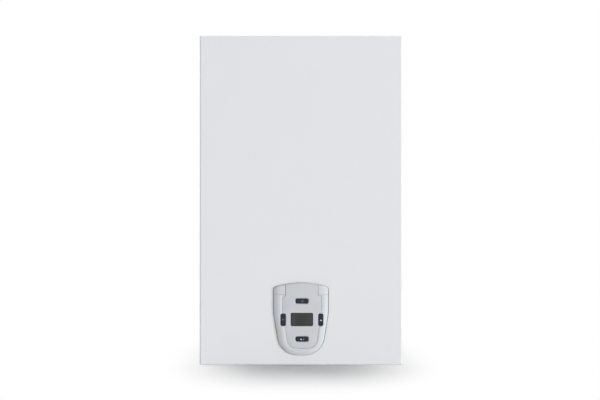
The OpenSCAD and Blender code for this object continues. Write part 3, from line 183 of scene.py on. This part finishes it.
def seen(tree):
    """1 for what the camera sees, straight on, in metal or through glass"""
    ray = tree.nodes.new("ShaderNodeLightPath").outputs
    straight_or_metal = maths(tree, "MAXIMUM", ray["Is Camera Ray"], ray["Is Glossy Ray"])
    return maths(tree, "MAXIMUM", straight_or_metal, ray["Is Transmission Ray"])


fill_strength = 0.20
floor_reach = 12.0
floor_gap = 0.0005

# The floor's shade thins out over the spreads, from a core under the casing: a painted white glow fades the real
# shadow out there. The contact tone is painted shadow, darkest next to the casing, and light that bounces off the
# floor meets the unseen tone
shade_core_x = 0.04
shade_spread_x = 0.24
shade_spread_y = 0.38
shade_start = 0.1
painted_contact_shadow = (0.79, 0.79, 0.79)
unseen_tone = (0.72, 0.72, 0.72)

world = bpy.data.worlds.new("studio")
scene.world = world
world.use_nodes = True
wt = world.node_tree
fill = wt.nodes["Background"]
fill.inputs["Color"].default_value = (0.98, 0.99, 1.0, 1.0)
fill.inputs["Strength"].default_value = fill_strength
white = wt.nodes.new("ShaderNodeBackground")
white.inputs["Color"].default_value = (1.0, 1.0, 1.0, 1.0)
white.inputs["Strength"].default_value = 1.0
pick = wt.nodes.new("ShaderNodeMixShader")
wt.links.new(seen(wt), pick.inputs["Fac"])
wt.links.new(fill.outputs["Background"], pick.inputs[1])
wt.links.new(white.outputs["Background"], pick.inputs[2])
wt.links.new(pick.outputs["Shader"], wt.nodes["World Output"].inputs["Surface"])

floor_mesh = bpy.data.meshes.new("floor")
square = [(x * floor_reach, y * floor_reach, 0) for x, y in ((-1, -1), (1, -1), (1, 1), (-1, 1))]
floor_mesh.from_pydata(square, [], [(0, 1, 2, 3)])
floor = bpy.data.objects.new("floor", floor_mesh)
floor.location = (0, 0, foot_z - floor_gap)
scene.collection.objects.link(floor)


def floor_white():
    """Pale matt floor with painted shadow near the casing over its real shadow, which a painted white glow fades
    into the white background further out
    """
    m, tree, shader, where = new_material("floor_white")
    at = axes(tree, where)
    across = maths(tree, "SUBTRACT", maths(tree, "ABSOLUTE", at["X"]), shade_core_x)
    across = maths(tree, "DIVIDE", maths(tree, "MAXIMUM", across, 0.0), shade_spread_x)
    middle = face_y / 2
    along = maths(tree, "ABSOLUTE", maths(tree, "SUBTRACT", at["Y"], middle))
    along = maths(tree, "SUBTRACT", along, abs(face_y) / 2)
    along = maths(tree, "DIVIDE", maths(tree, "MAXIMUM", along, 0.0), shade_spread_y)
    r2 = maths(tree, "ADD", maths(tree, "MULTIPLY", across, across), maths(tree, "MULTIPLY", along, along))
    away = tree.nodes.new("ShaderNodeMapRange")
    away.interpolation_type = "SMOOTHSTEP"
    away.inputs["From Min"].default_value = shade_start
    tree.links.new(maths(tree, "SQRT", r2), away.inputs["Value"])
    # Painted light: white glow over the floor that fades the real shadow with distance from the casing
    painted_glow_fac = maths(tree, "MULTIPLY", away.outputs["Result"], seen(tree))
    near = spread(tree, away.outputs["Result"], 0.0, 1.0, 0.0, 0.5)
    speckle = noise(tree, where, 3, 3.0)
    pale = mixed(tree, spread(tree, speckle, 0, 1), (0.84, 0.84, 0.84), (0.86, 0.86, 0.86))
    # Painted shadow: the floor's colour darkens to the contact tone next to the casing
    look = mixed(tree, near, painted_contact_shadow, pale)
    tree.links.new(mixed(tree, seen(tree), unseen_tone, look), shader.inputs["Base Color"])
    shader.inputs["Roughness"].default_value = 0.9
    shader.inputs["Specular IOR Level"].default_value = 0.0
    glow = tree.nodes.new("ShaderNodeEmission")
    glow.inputs["Color"].default_value = (1.0, 1.0, 1.0, 1.0)
    glow.inputs["Strength"].default_value = 1.0
    fade = tree.nodes.new("ShaderNodeMixShader")
    tree.links.new(painted_glow_fac, fade.inputs["Fac"])
    tree.links.new(shader.outputs["BSDF"], fade.inputs[1])
    tree.links.new(glow.outputs["Emission"], fade.inputs[2])
    tree.links.new(fade.outputs["Shader"], tree.nodes["Material Output"].inputs["Surface"])
    return m


floor_mesh.materials.append(floor_white())


def lamp(name, kind, energy, at, aim, glossy=True, **sizes):
    """A lamp aimed at a point. Without glossy it makes no highlight, which would clip on the top plate"""
    data = bpy.data.lights.new(name, kind)
    data.energy = energy
    for key, value in sizes.items():
        setattr(data, key, value)
    holder = bpy.data.objects.new(name, data)
    holder.location = at
    holder.visible_glossy = glossy
    holder.rotation_mode = "QUATERNION"
    holder.rotation_quaternion = (Vector(aim) - Vector(at)).to_track_quat("-Z", "Y")
    scene.collection.objects.link(holder)


# The key light comes from the right. Two thirds of it cast no shadow, as hardly any shows beside the panel
front_middle = (0, face_y, middle_z)
key_angle = math.radians(47)
key_away = 3.0
key_up = 0.2
key_shadowed = 1.1
key_shadowless = 2.26
key_at = (key_away * math.sin(key_angle), face_y - key_away * math.cos(key_angle), middle_z + key_up)
key_look = {"glossy": False, "angle": math.radians(16)}
lamp("key_right", "SUN", key_shadowed, key_at, front_middle, **key_look)
lamp("key_soft", "SUN", key_shadowless, key_at, front_middle, use_shadow=False, **key_look)
edge_at = (-2.6, face_y + 1.45, middle_z + 0.3)
lamp("edge_left", "SUN", 2.0, edge_at, front_middle, angle=math.radians(30))
lamp("top_soft", "AREA", 52, (0, 0.35, foot_z + 4), (0, -0.1, foot_z), shape="SQUARE", size=2.2)
lamp("back_soft", "AREA", 38, (-2.2, 3.0, middle_z + 1), (0, 0, middle_z), shape="SQUARE", size=2.0)

# Camera: square on, as the photograph, and no wider. px is what one pixel covers at the casing's face

distance = 2.4
px = 1.974e-3
frame_width_px = 600
off_x = -0.9 * px
off_z = 0.35 * px
lens_data = bpy.data.cameras.new("camera")
lens_data.sensor_width = 36.0
lens_data.lens = lens_data.sensor_width * distance / (frame_width_px * px)
camera = bpy.data.objects.new("camera", lens_data)
camera.location = (off_x, face_y - distance, middle_z + off_z)
camera.rotation_euler = (math.pi / 2, 0, 0)
scene.collection.objects.link(camera)
scene.camera = camera


# Materials of the CAD nodes

rim_paint = {
    "colour": (0.596, 0.615, 0.648), "rough": 0.40, "grain": 1600, "strength": 0.10, "drift": 0.012,
    "coat": 0.06, "gloss": 0.35,
}
board_parts_h = 0.022
terminals_drop = 0.019
switch_h = 0.0012
display_row = 0.0040
display_edge = 0.0011
display_band_at = 0.72
display_band_w = 0.0075
display_dark = (0.013, 0.016, 0.014)
display_pale = (0.024, 0.028, 0.024)
display_painted_reflection = (0.050, 0.056, 0.056)
display_border = (0.008, 0.009, 0.010)


def cover_coat():
    """White powder coat: a dense fine texture over a faint orange peel"""
    m, tree, shader, where = new_material("cover_coat")
    colour = (0.745, 0.757, 0.775)
    slow = noise(tree, where, 14, 4.0)
    peel = noise(tree, where, 420, 3.0, 0.55)
    grit = noise(tree, where, 1500, 2.0, 0.6)
    tone = drifting(tree, slow, colour, 0.01)
    specks = mixed(tree, spread(tree, grit, 0, 1), shade(colour, 0.965), tone)
    tree.links.new(specks, shader.inputs["Base Color"])
    tree.links.new(spread(tree, noise(tree, where, 70, 4.0), 0.44, 0.54), shader.inputs["Roughness"])
    first = bumped(tree, peel, 0.10, 0.0006)
    tree.links.new(bumped(tree, grit, 0.22, 0.0003, first), shader.inputs["Normal"])
    shader.inputs["Specular IOR Level"].default_value = 0.45
    return m


def painted_housing():
    """Dark moulded plastic, with the rim's silver paint on what stands above the deck. The dark ring at the
    deck's level is also painted shade for the shadow gap round the panel
    """
    m = moulded("painted_housing", **rim_paint)
    tree = m.node_tree
    shader = tree.nodes["Principled BSDF"]
    paint = shader.inputs["Base Color"].links[0].from_socket
    where = tree.nodes["Texture Coordinate"].outputs["Object"]
    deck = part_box("panel_bezel")[1].y
    # Painted shade: the dark plastic ring at the deck's level draws the shadow gap round the panel
    painted_gap_shade_mask = spread(tree, axes(tree, where)["Y"], 0, 1, deck - 0.0001, deck - 0.00005)
    speckle = spread(tree, noise(tree, where, 900, 2.0), 0, 1)
    plastic = mixed(tree, speckle, (0.045, 0.047, 0.050), (0.066, 0.068, 0.072))
    tree.links.new(mixed(tree, painted_gap_shade_mask, paint, plastic), shader.inputs["Base Color"])
    return m


def display_glass():
    """Tinted window over a reflective display: faint rows, a painted reflection in a paler band at the left and
    growing towards the right, and a darker border
    """
    m, tree, shader, where = new_material("display_glass")
    lo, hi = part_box("lcd_window")
    middle, half = (lo + hi) / 2, (hi - lo) / 2
    at = axes(tree, where)
    from_middle_x = maths(tree, "SUBTRACT", at["X"], middle.x)
    from_middle_z = maths(tree, "SUBTRACT", at["Z"], middle.z)
    rows = maths(tree, "PINGPONG", maths(tree, "DIVIDE", from_middle_z, display_row), 0.5)
    lines = mixed(tree, spread(tree, rows, 0, 1, 0.1, 0.4), display_dark, display_pale)
    off_band = maths(tree, "ABSOLUTE", maths(tree, "ADD", from_middle_x, half.x * display_band_at))
    # Painted reflection: a paler band at the left and a paler right side over the display's rows
    band = spread(tree, off_band, 0.35, 0, 0.0, display_band_w)
    right = spread(tree, from_middle_x, 0, 0.35, 0.0, half.x)
    painted_reflection_tone = mixed(tree, maths(tree, "ADD", band, right), lines, display_painted_reflection)
    beside = maths(tree, "SUBTRACT", maths(tree, "ABSOLUTE", from_middle_x), half.x - display_edge)
    above = maths(tree, "SUBTRACT", maths(tree, "ABSOLUTE", from_middle_z), half.z - display_edge)
    edge = spread(tree, maths(tree, "MAXIMUM", beside, above), 0, 1, 0.0, 0.0006)
    tree.links.new(mixed(tree, edge, painted_reflection_tone, display_border), shader.inputs["Base Color"])
    tree.links.new(spread(tree, noise(tree, where, 90, 3.0), 0.16, 0.24), shader.inputs["Roughness"])
    shader.inputs["Specular IOR Level"].default_value = 0.35
    shader.inputs["Coat Weight"].default_value = 0.2
    shader.inputs["Coat Roughness"].default_value = 0.05
    return m


def circuit_board(node, standing, terminals=None):
    """Solder mask with small tinned pads. The parts on its front stand as high as given and are dark, and the
    terminals, no further below its top than given, are pale"""
    m, tree, shader, where = new_material(node + "_look")
    cells = tree.nodes.new("ShaderNodeTexVoronoi")
    cells.distance = "MANHATTAN"
    cells.inputs["Scale"].default_value = 260
    tree.links.new(where, cells.inputs["Vector"])
    mask = spread(tree, cells.outputs["Distance"], 0, 1, 0.42, 0.5)
    tone = mixed(tree, mask, (0.30, 0.32, 0.24), (0.018, 0.130, 0.055))
    lo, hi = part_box(node)
    at = axes(tree, where)
    speckle = spread(tree, noise(tree, where, 500, 2.0), 0, 1)
    part = mixed(tree, speckle, (0.026, 0.027, 0.030), (0.044, 0.045, 0.049))
    if terminals:
        pale = spread(tree, at["Z"], 0, 1, hi.z - terminals - 0.0005, hi.z - terminals)
        part = mixed(tree, pale, part, (0.60, 0.62, 0.58))
    front = lo.y + standing
    bare = spread(tree, at["Y"], 0, 1, front - 0.0002, front - 0.0001)
    tree.links.new(mixed(tree, bare, part, tone), shader.inputs["Base Color"])
    tree.links.new(spread(tree, noise(tree, where, 120, 3.0), 0.28, 0.40), shader.inputs["Roughness"])
    tree.links.new(bumped(tree, mask, 0.2, 0.0001), shader.inputs["Normal"])
    return m


def turned_brass():
    """Turned brass: fine rings from the tool, and stains"""
    m, tree, shader, where = new_material("turned_brass")
    colour = (0.70, 0.50, 0.22)
    turning = noise(tree, where, 60, 5.0, 0.6, (1.0, 1.0, 14.0))
    stain = noise(tree, where, 35, 5.0, 0.6)
    tone = mixed(tree, spread(tree, stain, 0, 1), shade(colour, 0.82), shade(colour, 1.08))
    tree.links.new(tone, shader.inputs["Base Color"])
    tree.links.new(spread(tree, turning, 0.24, 0.42), shader.inputs["Roughness"])
    tree.links.new(bumped(tree, turning, 0.10, 0.0002), shader.inputs["Normal"])
    shader.inputs["Metallic"].default_value = 1.0
    return m


def clear_glass():
    """Clear glass with faint smears"""
    m, tree, shader, where = new_material("sight_glass")
    tree.links.new(spread(tree, noise(tree, where, 80, 3.0), 0.02, 0.06), shader.inputs["Roughness"])
    shader.inputs["Base Color"].default_value = (0.90, 0.95, 0.96, 1.0)
    shader.inputs["Transmission Weight"].default_value = 0.9
    shader.inputs["IOR"].default_value = 1.47
    return m


finish = {
    "cover_paint": cover_coat(),
    "frame_paint": moulded("frame_coat", (0.74, 0.75, 0.77), 0.48, grain=900, strength=0.16, drift=0.012),
    "zinc_steel": brushed("zinc_plate", (0.62, 0.64, 0.66), 0.34, (1.0, 1.0, 8.0), 30, 0.10, 0.10),
    "rim_silver": moulded("rim_silver", **rim_paint),
    "fascia_grey": moulded("fascia_grey", (0.560, 0.572, 0.600), 0.46, grain=1600, strength=0.12, drift=0.012),
    "display_glass": display_glass(),
    "key_navy": moulded("key_navy", (0.016, 0.021, 0.034), 0.42, grain=1200, drift=0.10, gloss=0.28),
    "board_green": circuit_board("main_board", board_parts_h, terminals_drop),
    "dark_plastic": moulded("dark_plastic", (0.040, 0.041, 0.045), 0.50, grain=900, strength=0.2, drift=0.12),
    "white_plastic": moulded("white_plastic", (0.78, 0.77, 0.72), 0.42, grain=700, strength=0.1, drift=0.02),
    "flue_steel": brushed("flue_steel", (0.60, 0.61, 0.62), 0.30, (1.0, 1.0, 12.0), 30, 0.12, 0.07),
    "chamber_steel": brushed("chamber_steel", (0.56, 0.57, 0.58), 0.38, (14.0, 1.0, 1.0), 26, 0.12, 0.09),
    "motor_black": moulded("motor_black", (0.030, 0.030, 0.034), 0.38, grain=700, strength=0.2, drift=0.15),
    "seal_rubber": moulded("seal_rubber", (0.045, 0.045, 0.047), 0.66, grain=600, strength=0.3, drift=0.15),
    "sight_glass": clear_glass(),
    "copper": brushed("copper", (0.78, 0.38, 0.24), 0.32, (1.0, 1.0, 6.0), 26, 0.08, 0.14),
    "burner_steel": brushed("burner_steel", (0.54, 0.53, 0.52), 0.36, (12.0, 1.0, 1.0), 30, 0.14, 0.10),
    "brass": turned_brass(),
    "valve_aluminium": moulded(
        "valve_aluminium", (0.60, 0.61, 0.63), 0.46, grain=420, strength=0.5, drift=0.06, metal=1.0
    ),
    "ceramic": moulded("ceramic", (0.82, 0.80, 0.74), 0.22, grain=300, strength=0.05, drift=0.03, coat=0.5),
}
own = {"panel_housing": painted_housing(), "display_board": circuit_board("display_board", switch_h)}
for part in frame["record"]["subparts"]:
    made = own.get(part["node"], finish[part["material_slot"]])
    mesh = nodes[part["node"]].data
    if not mesh.materials:
        mesh.materials.append(made)
    for s in nodes[part["node"]].material_slots:
        s.material = made


# Rounded forms come as many small flat faces, so their shading is smoothed where these meet at small angles

smooth_below = math.radians(28)
weld_below = 0.00001


def soft_shading():
    """A modifier's node group that smooths the shading of all but steep edges"""
    group = bpy.data.node_groups.new("soft_shading", "GeometryNodeTree")
    group.interface.new_socket("Geometry", in_out="INPUT", socket_type="NodeSocketGeometry")
    group.interface.new_socket("Geometry", in_out="OUTPUT", socket_type="NodeSocketGeometry")
    n = group.nodes
    start, end = n.new("NodeGroupInput"), n.new("NodeGroupOutput")
    bare = n.new("GeometryNodeRemoveAttribute")
    bare.inputs["Name"].default_value = "custom_normal"
    weld = n.new("GeometryNodeMergeByDistance")
    weld.inputs["Distance"].default_value = weld_below
    smooth = n.new("GeometryNodeSetShadeSmooth")
    smooth.domain = "FACE"
    angle = n.new("GeometryNodeInputMeshEdgeAngle")
    steep = n.new("FunctionNodeCompare")
    steep.data_type = "FLOAT"
    steep.operation = "GREATER_THAN"
    steep.inputs[1].default_value = smooth_below
    sharp = n.new("GeometryNodeSetShadeSmooth")
    sharp.domain = "EDGE"
    sharp.inputs["Shade Smooth"].default_value = False
    for a, b in (
        (start.outputs[0], bare.inputs["Geometry"]),
        (bare.outputs["Geometry"], weld.inputs["Geometry"]),
        (weld.outputs["Geometry"], smooth.inputs["Geometry"]),
        (smooth.outputs["Geometry"], sharp.inputs["Geometry"]),
        (angle.outputs["Unsigned Angle"], steep.inputs[0]),
        (steep.outputs["Result"], sharp.inputs["Selection"]),
        (sharp.outputs["Geometry"], end.inputs[0]),
    ):
        group.links.new(a, b)
    return group


soft = soft_shading()
rounded_nodes = (
    "panel_housing", "panel_bezel", "panel_fascia", "front_cover", "lcd_window",
    "button_top", "button_left", "button_right", "button_bottom",
)
for name in rounded_nodes:
    nodes[name].modifiers.new("soft_shading", "NODES").node_group = soft


# Pieces that this script adds

def add_piece(name, bm, made, body):
    """Makes a piece of the mesh, which rides on the body"""
    bmesh.ops.recalc_face_normals(bm, faces=bm.faces)
    mesh = bpy.data.meshes.new(name)
    bm.to_mesh(mesh)
    bm.free()
    mesh.materials.append(made)
    piece = bpy.data.objects.new(name, mesh)
    scene.collection.objects.link(piece)
    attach(piece, body)
    return piece


def turned(bm, profile, place, steps):
    """A turned form about its own Z axis, from a closed profile of [r, z] in millimetres"""
    turn = [2 * math.pi * k / steps for k in range(steps)]
    rings = []
    for r, z in profile:
        points = [(r * math.cos(t), r * math.sin(t), z) for t in turn] if r else [(0, 0, z)]
        rings.append([bm.verts.new(place @ (Vector(p) / 1000)) for p in points])
    for a, b in zip(rings, rings[1:] + rings[:1]):
        for k in range(steps):
            corners = [a[k % len(a)], a[(k + 1) % len(a)], b[(k + 1) % len(b)], b[k % len(b)]]
            corners = list(dict.fromkeys(corners))
            if len(corners) > 2:
                bm.faces.new(corners)


# The head of a screw, in millimetres: its radius and height, the radius of the flat round the recess, how far the
# dome falls from there, the height and narrowing of the recess's floor, and the reach and half width of its arms
head_r = 3.8
head_h = 2.0
flat_r = 2.3
dome_fall = 1.2
recess_floor = 0.7
recess_taper = 0.7
arm_reach = 1.9
arm_half = 0.42
dome_angles = [math.radians(18 * k) for k in range(1, 6)]


def pan_head(bm, place):
    """A screw's domed head with a cross recess, standing on its own z = 0"""
    corners = []
    for k in range(4):
        a = math.radians(90 * k)
        for x, y in ((-arm_half, -arm_reach), (arm_half, -arm_reach), (arm_half, -arm_half)):
            corners.append((x * math.cos(a) - y * math.sin(a), x * math.sin(a) + y * math.cos(a)))
    outline = [
        (x + (u - x) * j / 3, y + (v - y) * j / 3)
        for (x, y), (u, v) in zip(corners, corners[1:] + corners[:1])
        for j in range(3)
    ]
    n = len(outline)

    def ring(points, z):
        return [bm.verts.new(place @ Vector((x / 1000, y / 1000, z / 1000))) for x, y in points]

    def circle(r):
        return [(r * math.cos(t), r * math.sin(t)) for t in (math.atan2(y, x) for x, y in outline)]

    low = ring([(recess_taper * x, recess_taper * y) for x, y in outline], recess_floor)
    levels = [low, ring(outline, head_h), ring(circle(flat_r), head_h)]
    for a in dome_angles:
        out, down = (head_r - flat_r) * math.sin(a), dome_fall * (1 - math.cos(a))
        levels.append(ring(circle(flat_r + out), head_h - down))
    levels.append(ring(circle(head_r), 0.0))
    bm.faces.new(low)
    for a, b in zip(levels, levels[1:]):
        for k in range(n):
            bm.faces.new((a[k], a[(k + 1) % n], b[(k + 1) % n], b[k]))
    bm.faces.new(levels[-1])


steel = finish["zinc_steel"]
screw_lo, screw_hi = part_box("case_screws")
shank = [(0, -8), (1.6, -8), (2.05, -7), (2.05, 0.2), (0, 0.2)]
bm = bmesh.new()
for side in (-1, 1):
    for z in (screw_lo.z + head_r / 1000, screw_hi.z - head_r / 1000):
        at = Matrix.Translation((side * (screw_hi.x - head_h / 1000), (screw_lo.y + screw_hi.y) / 2, z))
        spot = at @ Matrix.Rotation(side * math.pi / 2, 4, "Y")
        pan_head(bm, spot @ Matrix.Rotation(0.4 + 1.1 * side + 9 * z, 4, "Z"))
        turned(bm, shank, spot, 20)
cover_screws = add_piece("cover_screws", bm, steel, "casing")
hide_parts("case_screws")

# The flue collar's four screws in the top plate, and the seal round it
collar_lo, collar_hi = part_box("flue_collar")
collar_at = Vector(((collar_lo.x + collar_hi.x) / 2, (collar_lo.y + collar_hi.y) / 2, cover_hi.z))
screw_inset = 0.0062
screw_circle = (collar_hi.x - collar_lo.x) / 2 - screw_inset
seal = [(50.9, 0), (54.6, 0), (54.5, 0.5), (54.0, 0.9), (50.9, 0.9)]
bm = bmesh.new()
for k in range(4):
    a = math.radians(45 + 90 * k)
    spot = Matrix.Translation(collar_at + Vector((screw_circle * math.cos(a), screw_circle * math.sin(a), 0)))
    pan_head(bm, spot @ Matrix.Rotation(1.3 * k, 4, "Z"))
add_piece("collar_screws", bm, steel, "casing")
bm = bmesh.new()
turned(bm, seal, Matrix.Translation(collar_at), 96)
add_piece("collar_seal", bm, finish["seal_rubber"], "casing")


# The thread of a G 1/2 pipe end: its pitch, and its depth as far as it shows. Slack finds the wall's vertices
pitch = 0.001814
depth = 0.0008
slack = 1e-5


def threaded(node, x, y, r, z0, z1, made):
    """A copy of the node's mesh, with a thread cut into the plain stretch of radius r from z0 to z1"""
    bm = bmesh.new()
    bm.from_mesh(nodes[node].data)
    bmesh.ops.remove_doubles(bm, verts=bm.verts, dist=1e-6)

    def on_wall(v):
        return abs(math.hypot(v.co.x - x, v.co.y - y) - r) < 2 * slack and z0 - slack < v.co.z < z1 + slack

    def turn_of(v):
        return math.atan2(v.co.y - y, v.co.x - x)

    wall = [f for f in bm.faces if all(on_wall(v) for v in f.verts) and abs(f.normal.z) < 0.1]
    corners = {v for f in wall for v in f.verts}
    ring = sorted((v for v in corners if v.co.z < z0 + slack), key=turn_of)
    top = sorted((v for v in corners if v.co.z > z1 - slack), key=turn_of)
    bmesh.ops.delete(bm, geom=wall, context="FACES_ONLY")
    turn = [turn_of(v) for v in ring]
    rows = 8 * round((z1 - z0) / pitch)
    grid = [ring]
    for j in range(1, rows):
        z = z0 + (z1 - z0) * j / rows
        fade = min(1.0, (z - z0) / pitch, (z1 - z) / pitch)
        level = []
        for t in turn:
            phase = ((z - z0) / pitch - t / (2 * math.pi)) % 1.0
            cut = max(0.0, 1.25 * (1 - abs(2 * phase - 1)) - 0.125)
            rr = r - depth * fade * min(1.0, cut)
            level.append(bm.verts.new((x + rr * math.cos(t), y + rr * math.sin(t), z)))
        grid.append(level)
    grid.append(top)
    n = len(ring)
    for a, b in zip(grid, grid[1:]):
        for k in range(n):
            bm.faces.new((a[k], a[(k + 1) % n], b[(k + 1) % n], b[k]))
    piece = add_piece(node + "_threaded", bm, made, "casing")
    piece.modifiers.new("soft_shading", "NODES").node_group = soft
    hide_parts(node)


mounts = {m["name"]: m for m in frame["record"]["mounts"]}
for node, mount in (
    ("cold_inlet_fitting", "cold_water_inlet"),
    ("hot_outlet_fitting", "hot_water_outlet"),
    ("gas_inlet_fitting", "gas_inlet"),
):
    x, y, z = mounts[mount]["pos_m"]
    half_l = mounts[mount]["dims"]["length_mm"] / 2000
    r = mounts[mount]["dims"]["r_mm"] / 1000
    threaded(node, x, y, r, z - half_l, z + half_l, finish["brass"])


# Small printed signs on the keys, a little proud of them

print_t = 0.00006


def sign(name, key, body, shapes, made):
    """Thin plates on a key's face; each shape is a list of [x, z] in millimetres from the key's middle"""
    lo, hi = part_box(key)
    bm = bmesh.new()
    for shape in shapes:
        corners = [
            bm.verts.new(((lo.x + hi.x) / 2 + x / 1000, lo.y + print_t / 4, (lo.z + hi.z) / 2 + z / 1000))
            for x, z in shape
        ]
        raised = bmesh.ops.extrude_face_region(bm, geom=[bm.faces.new(corners)])["geom"]
        front = [v for v in raised if isinstance(v, bmesh.types.BMVert)]
        bmesh.ops.translate(bm, verts=front, vec=(0, -print_t, 0))
    add_piece(name, bm, made, body)


def arc(r, a0, a1, w, x, z):
    """A curved bar of the width w along an arc round [x, z], from the angle a0 to a1 in degrees"""
    steps = 14
    turn = [math.radians(a0 + (a1 - a0) * k / steps) for k in range(steps + 1)]
    outer = [(x + (r + w / 2) * math.cos(t), z + (r + w / 2) * math.sin(t)) for t in turn]
    inner = [(x + (r - w / 2) * math.cos(t), z + (r - w / 2) * math.sin(t)) for t in reversed(turn)]
    return outer + inner


def drop(r, x, z):
    """A water drop: a round foot and a pointed top"""
    turn = [math.radians(-220 + 260 * k / 16) for k in range(17)]
    return [(x + r * math.cos(t), z + r * math.sin(t)) for t in turn] + [(x, z + 2.3 * r)]


def bar(x0, z0, x1, z1):
    """An upright or level bar between two opposite corners"""
    return [(x0, z0), (x1, z0), (x1, z1), (x0, z1)]


ink_white = moulded("ink_white", (0.86, 0.88, 0.90), 0.45, grain=2200, strength=0.08, drift=0.03)
ink_grey = moulded("ink_grey", (0.22, 0.24, 0.27), 0.45, grain=2200, strength=0.08, drift=0.03)
power = [arc(1.7, 125, 415, 0.55, 0.9, -0.3), bar(0.62, 0.2, 1.18, 2.2)]
sign("sign_power", "button_top", "upper_key", power, ink_grey)
sign("sign_down", "button_left", "left_key", [[(0, -1.5), (1.7, 1.2), (-1.7, 1.2)]], ink_grey)
sign("sign_up", "button_right", "right_key", [[(0.5, 0.9), (-1.2, -2.0), (2.2, -2.0)]], ink_white)
sign("sign_flow", "button_bottom", "lower_key", [[(-3.2, -0.5), (-0.6, 1.1), (-0.6, -2.1)]], ink_white)
sign("sign_drop", "button_bottom", "lower_key", [drop(1.15, 3.4, -0.9)], ink_grey)
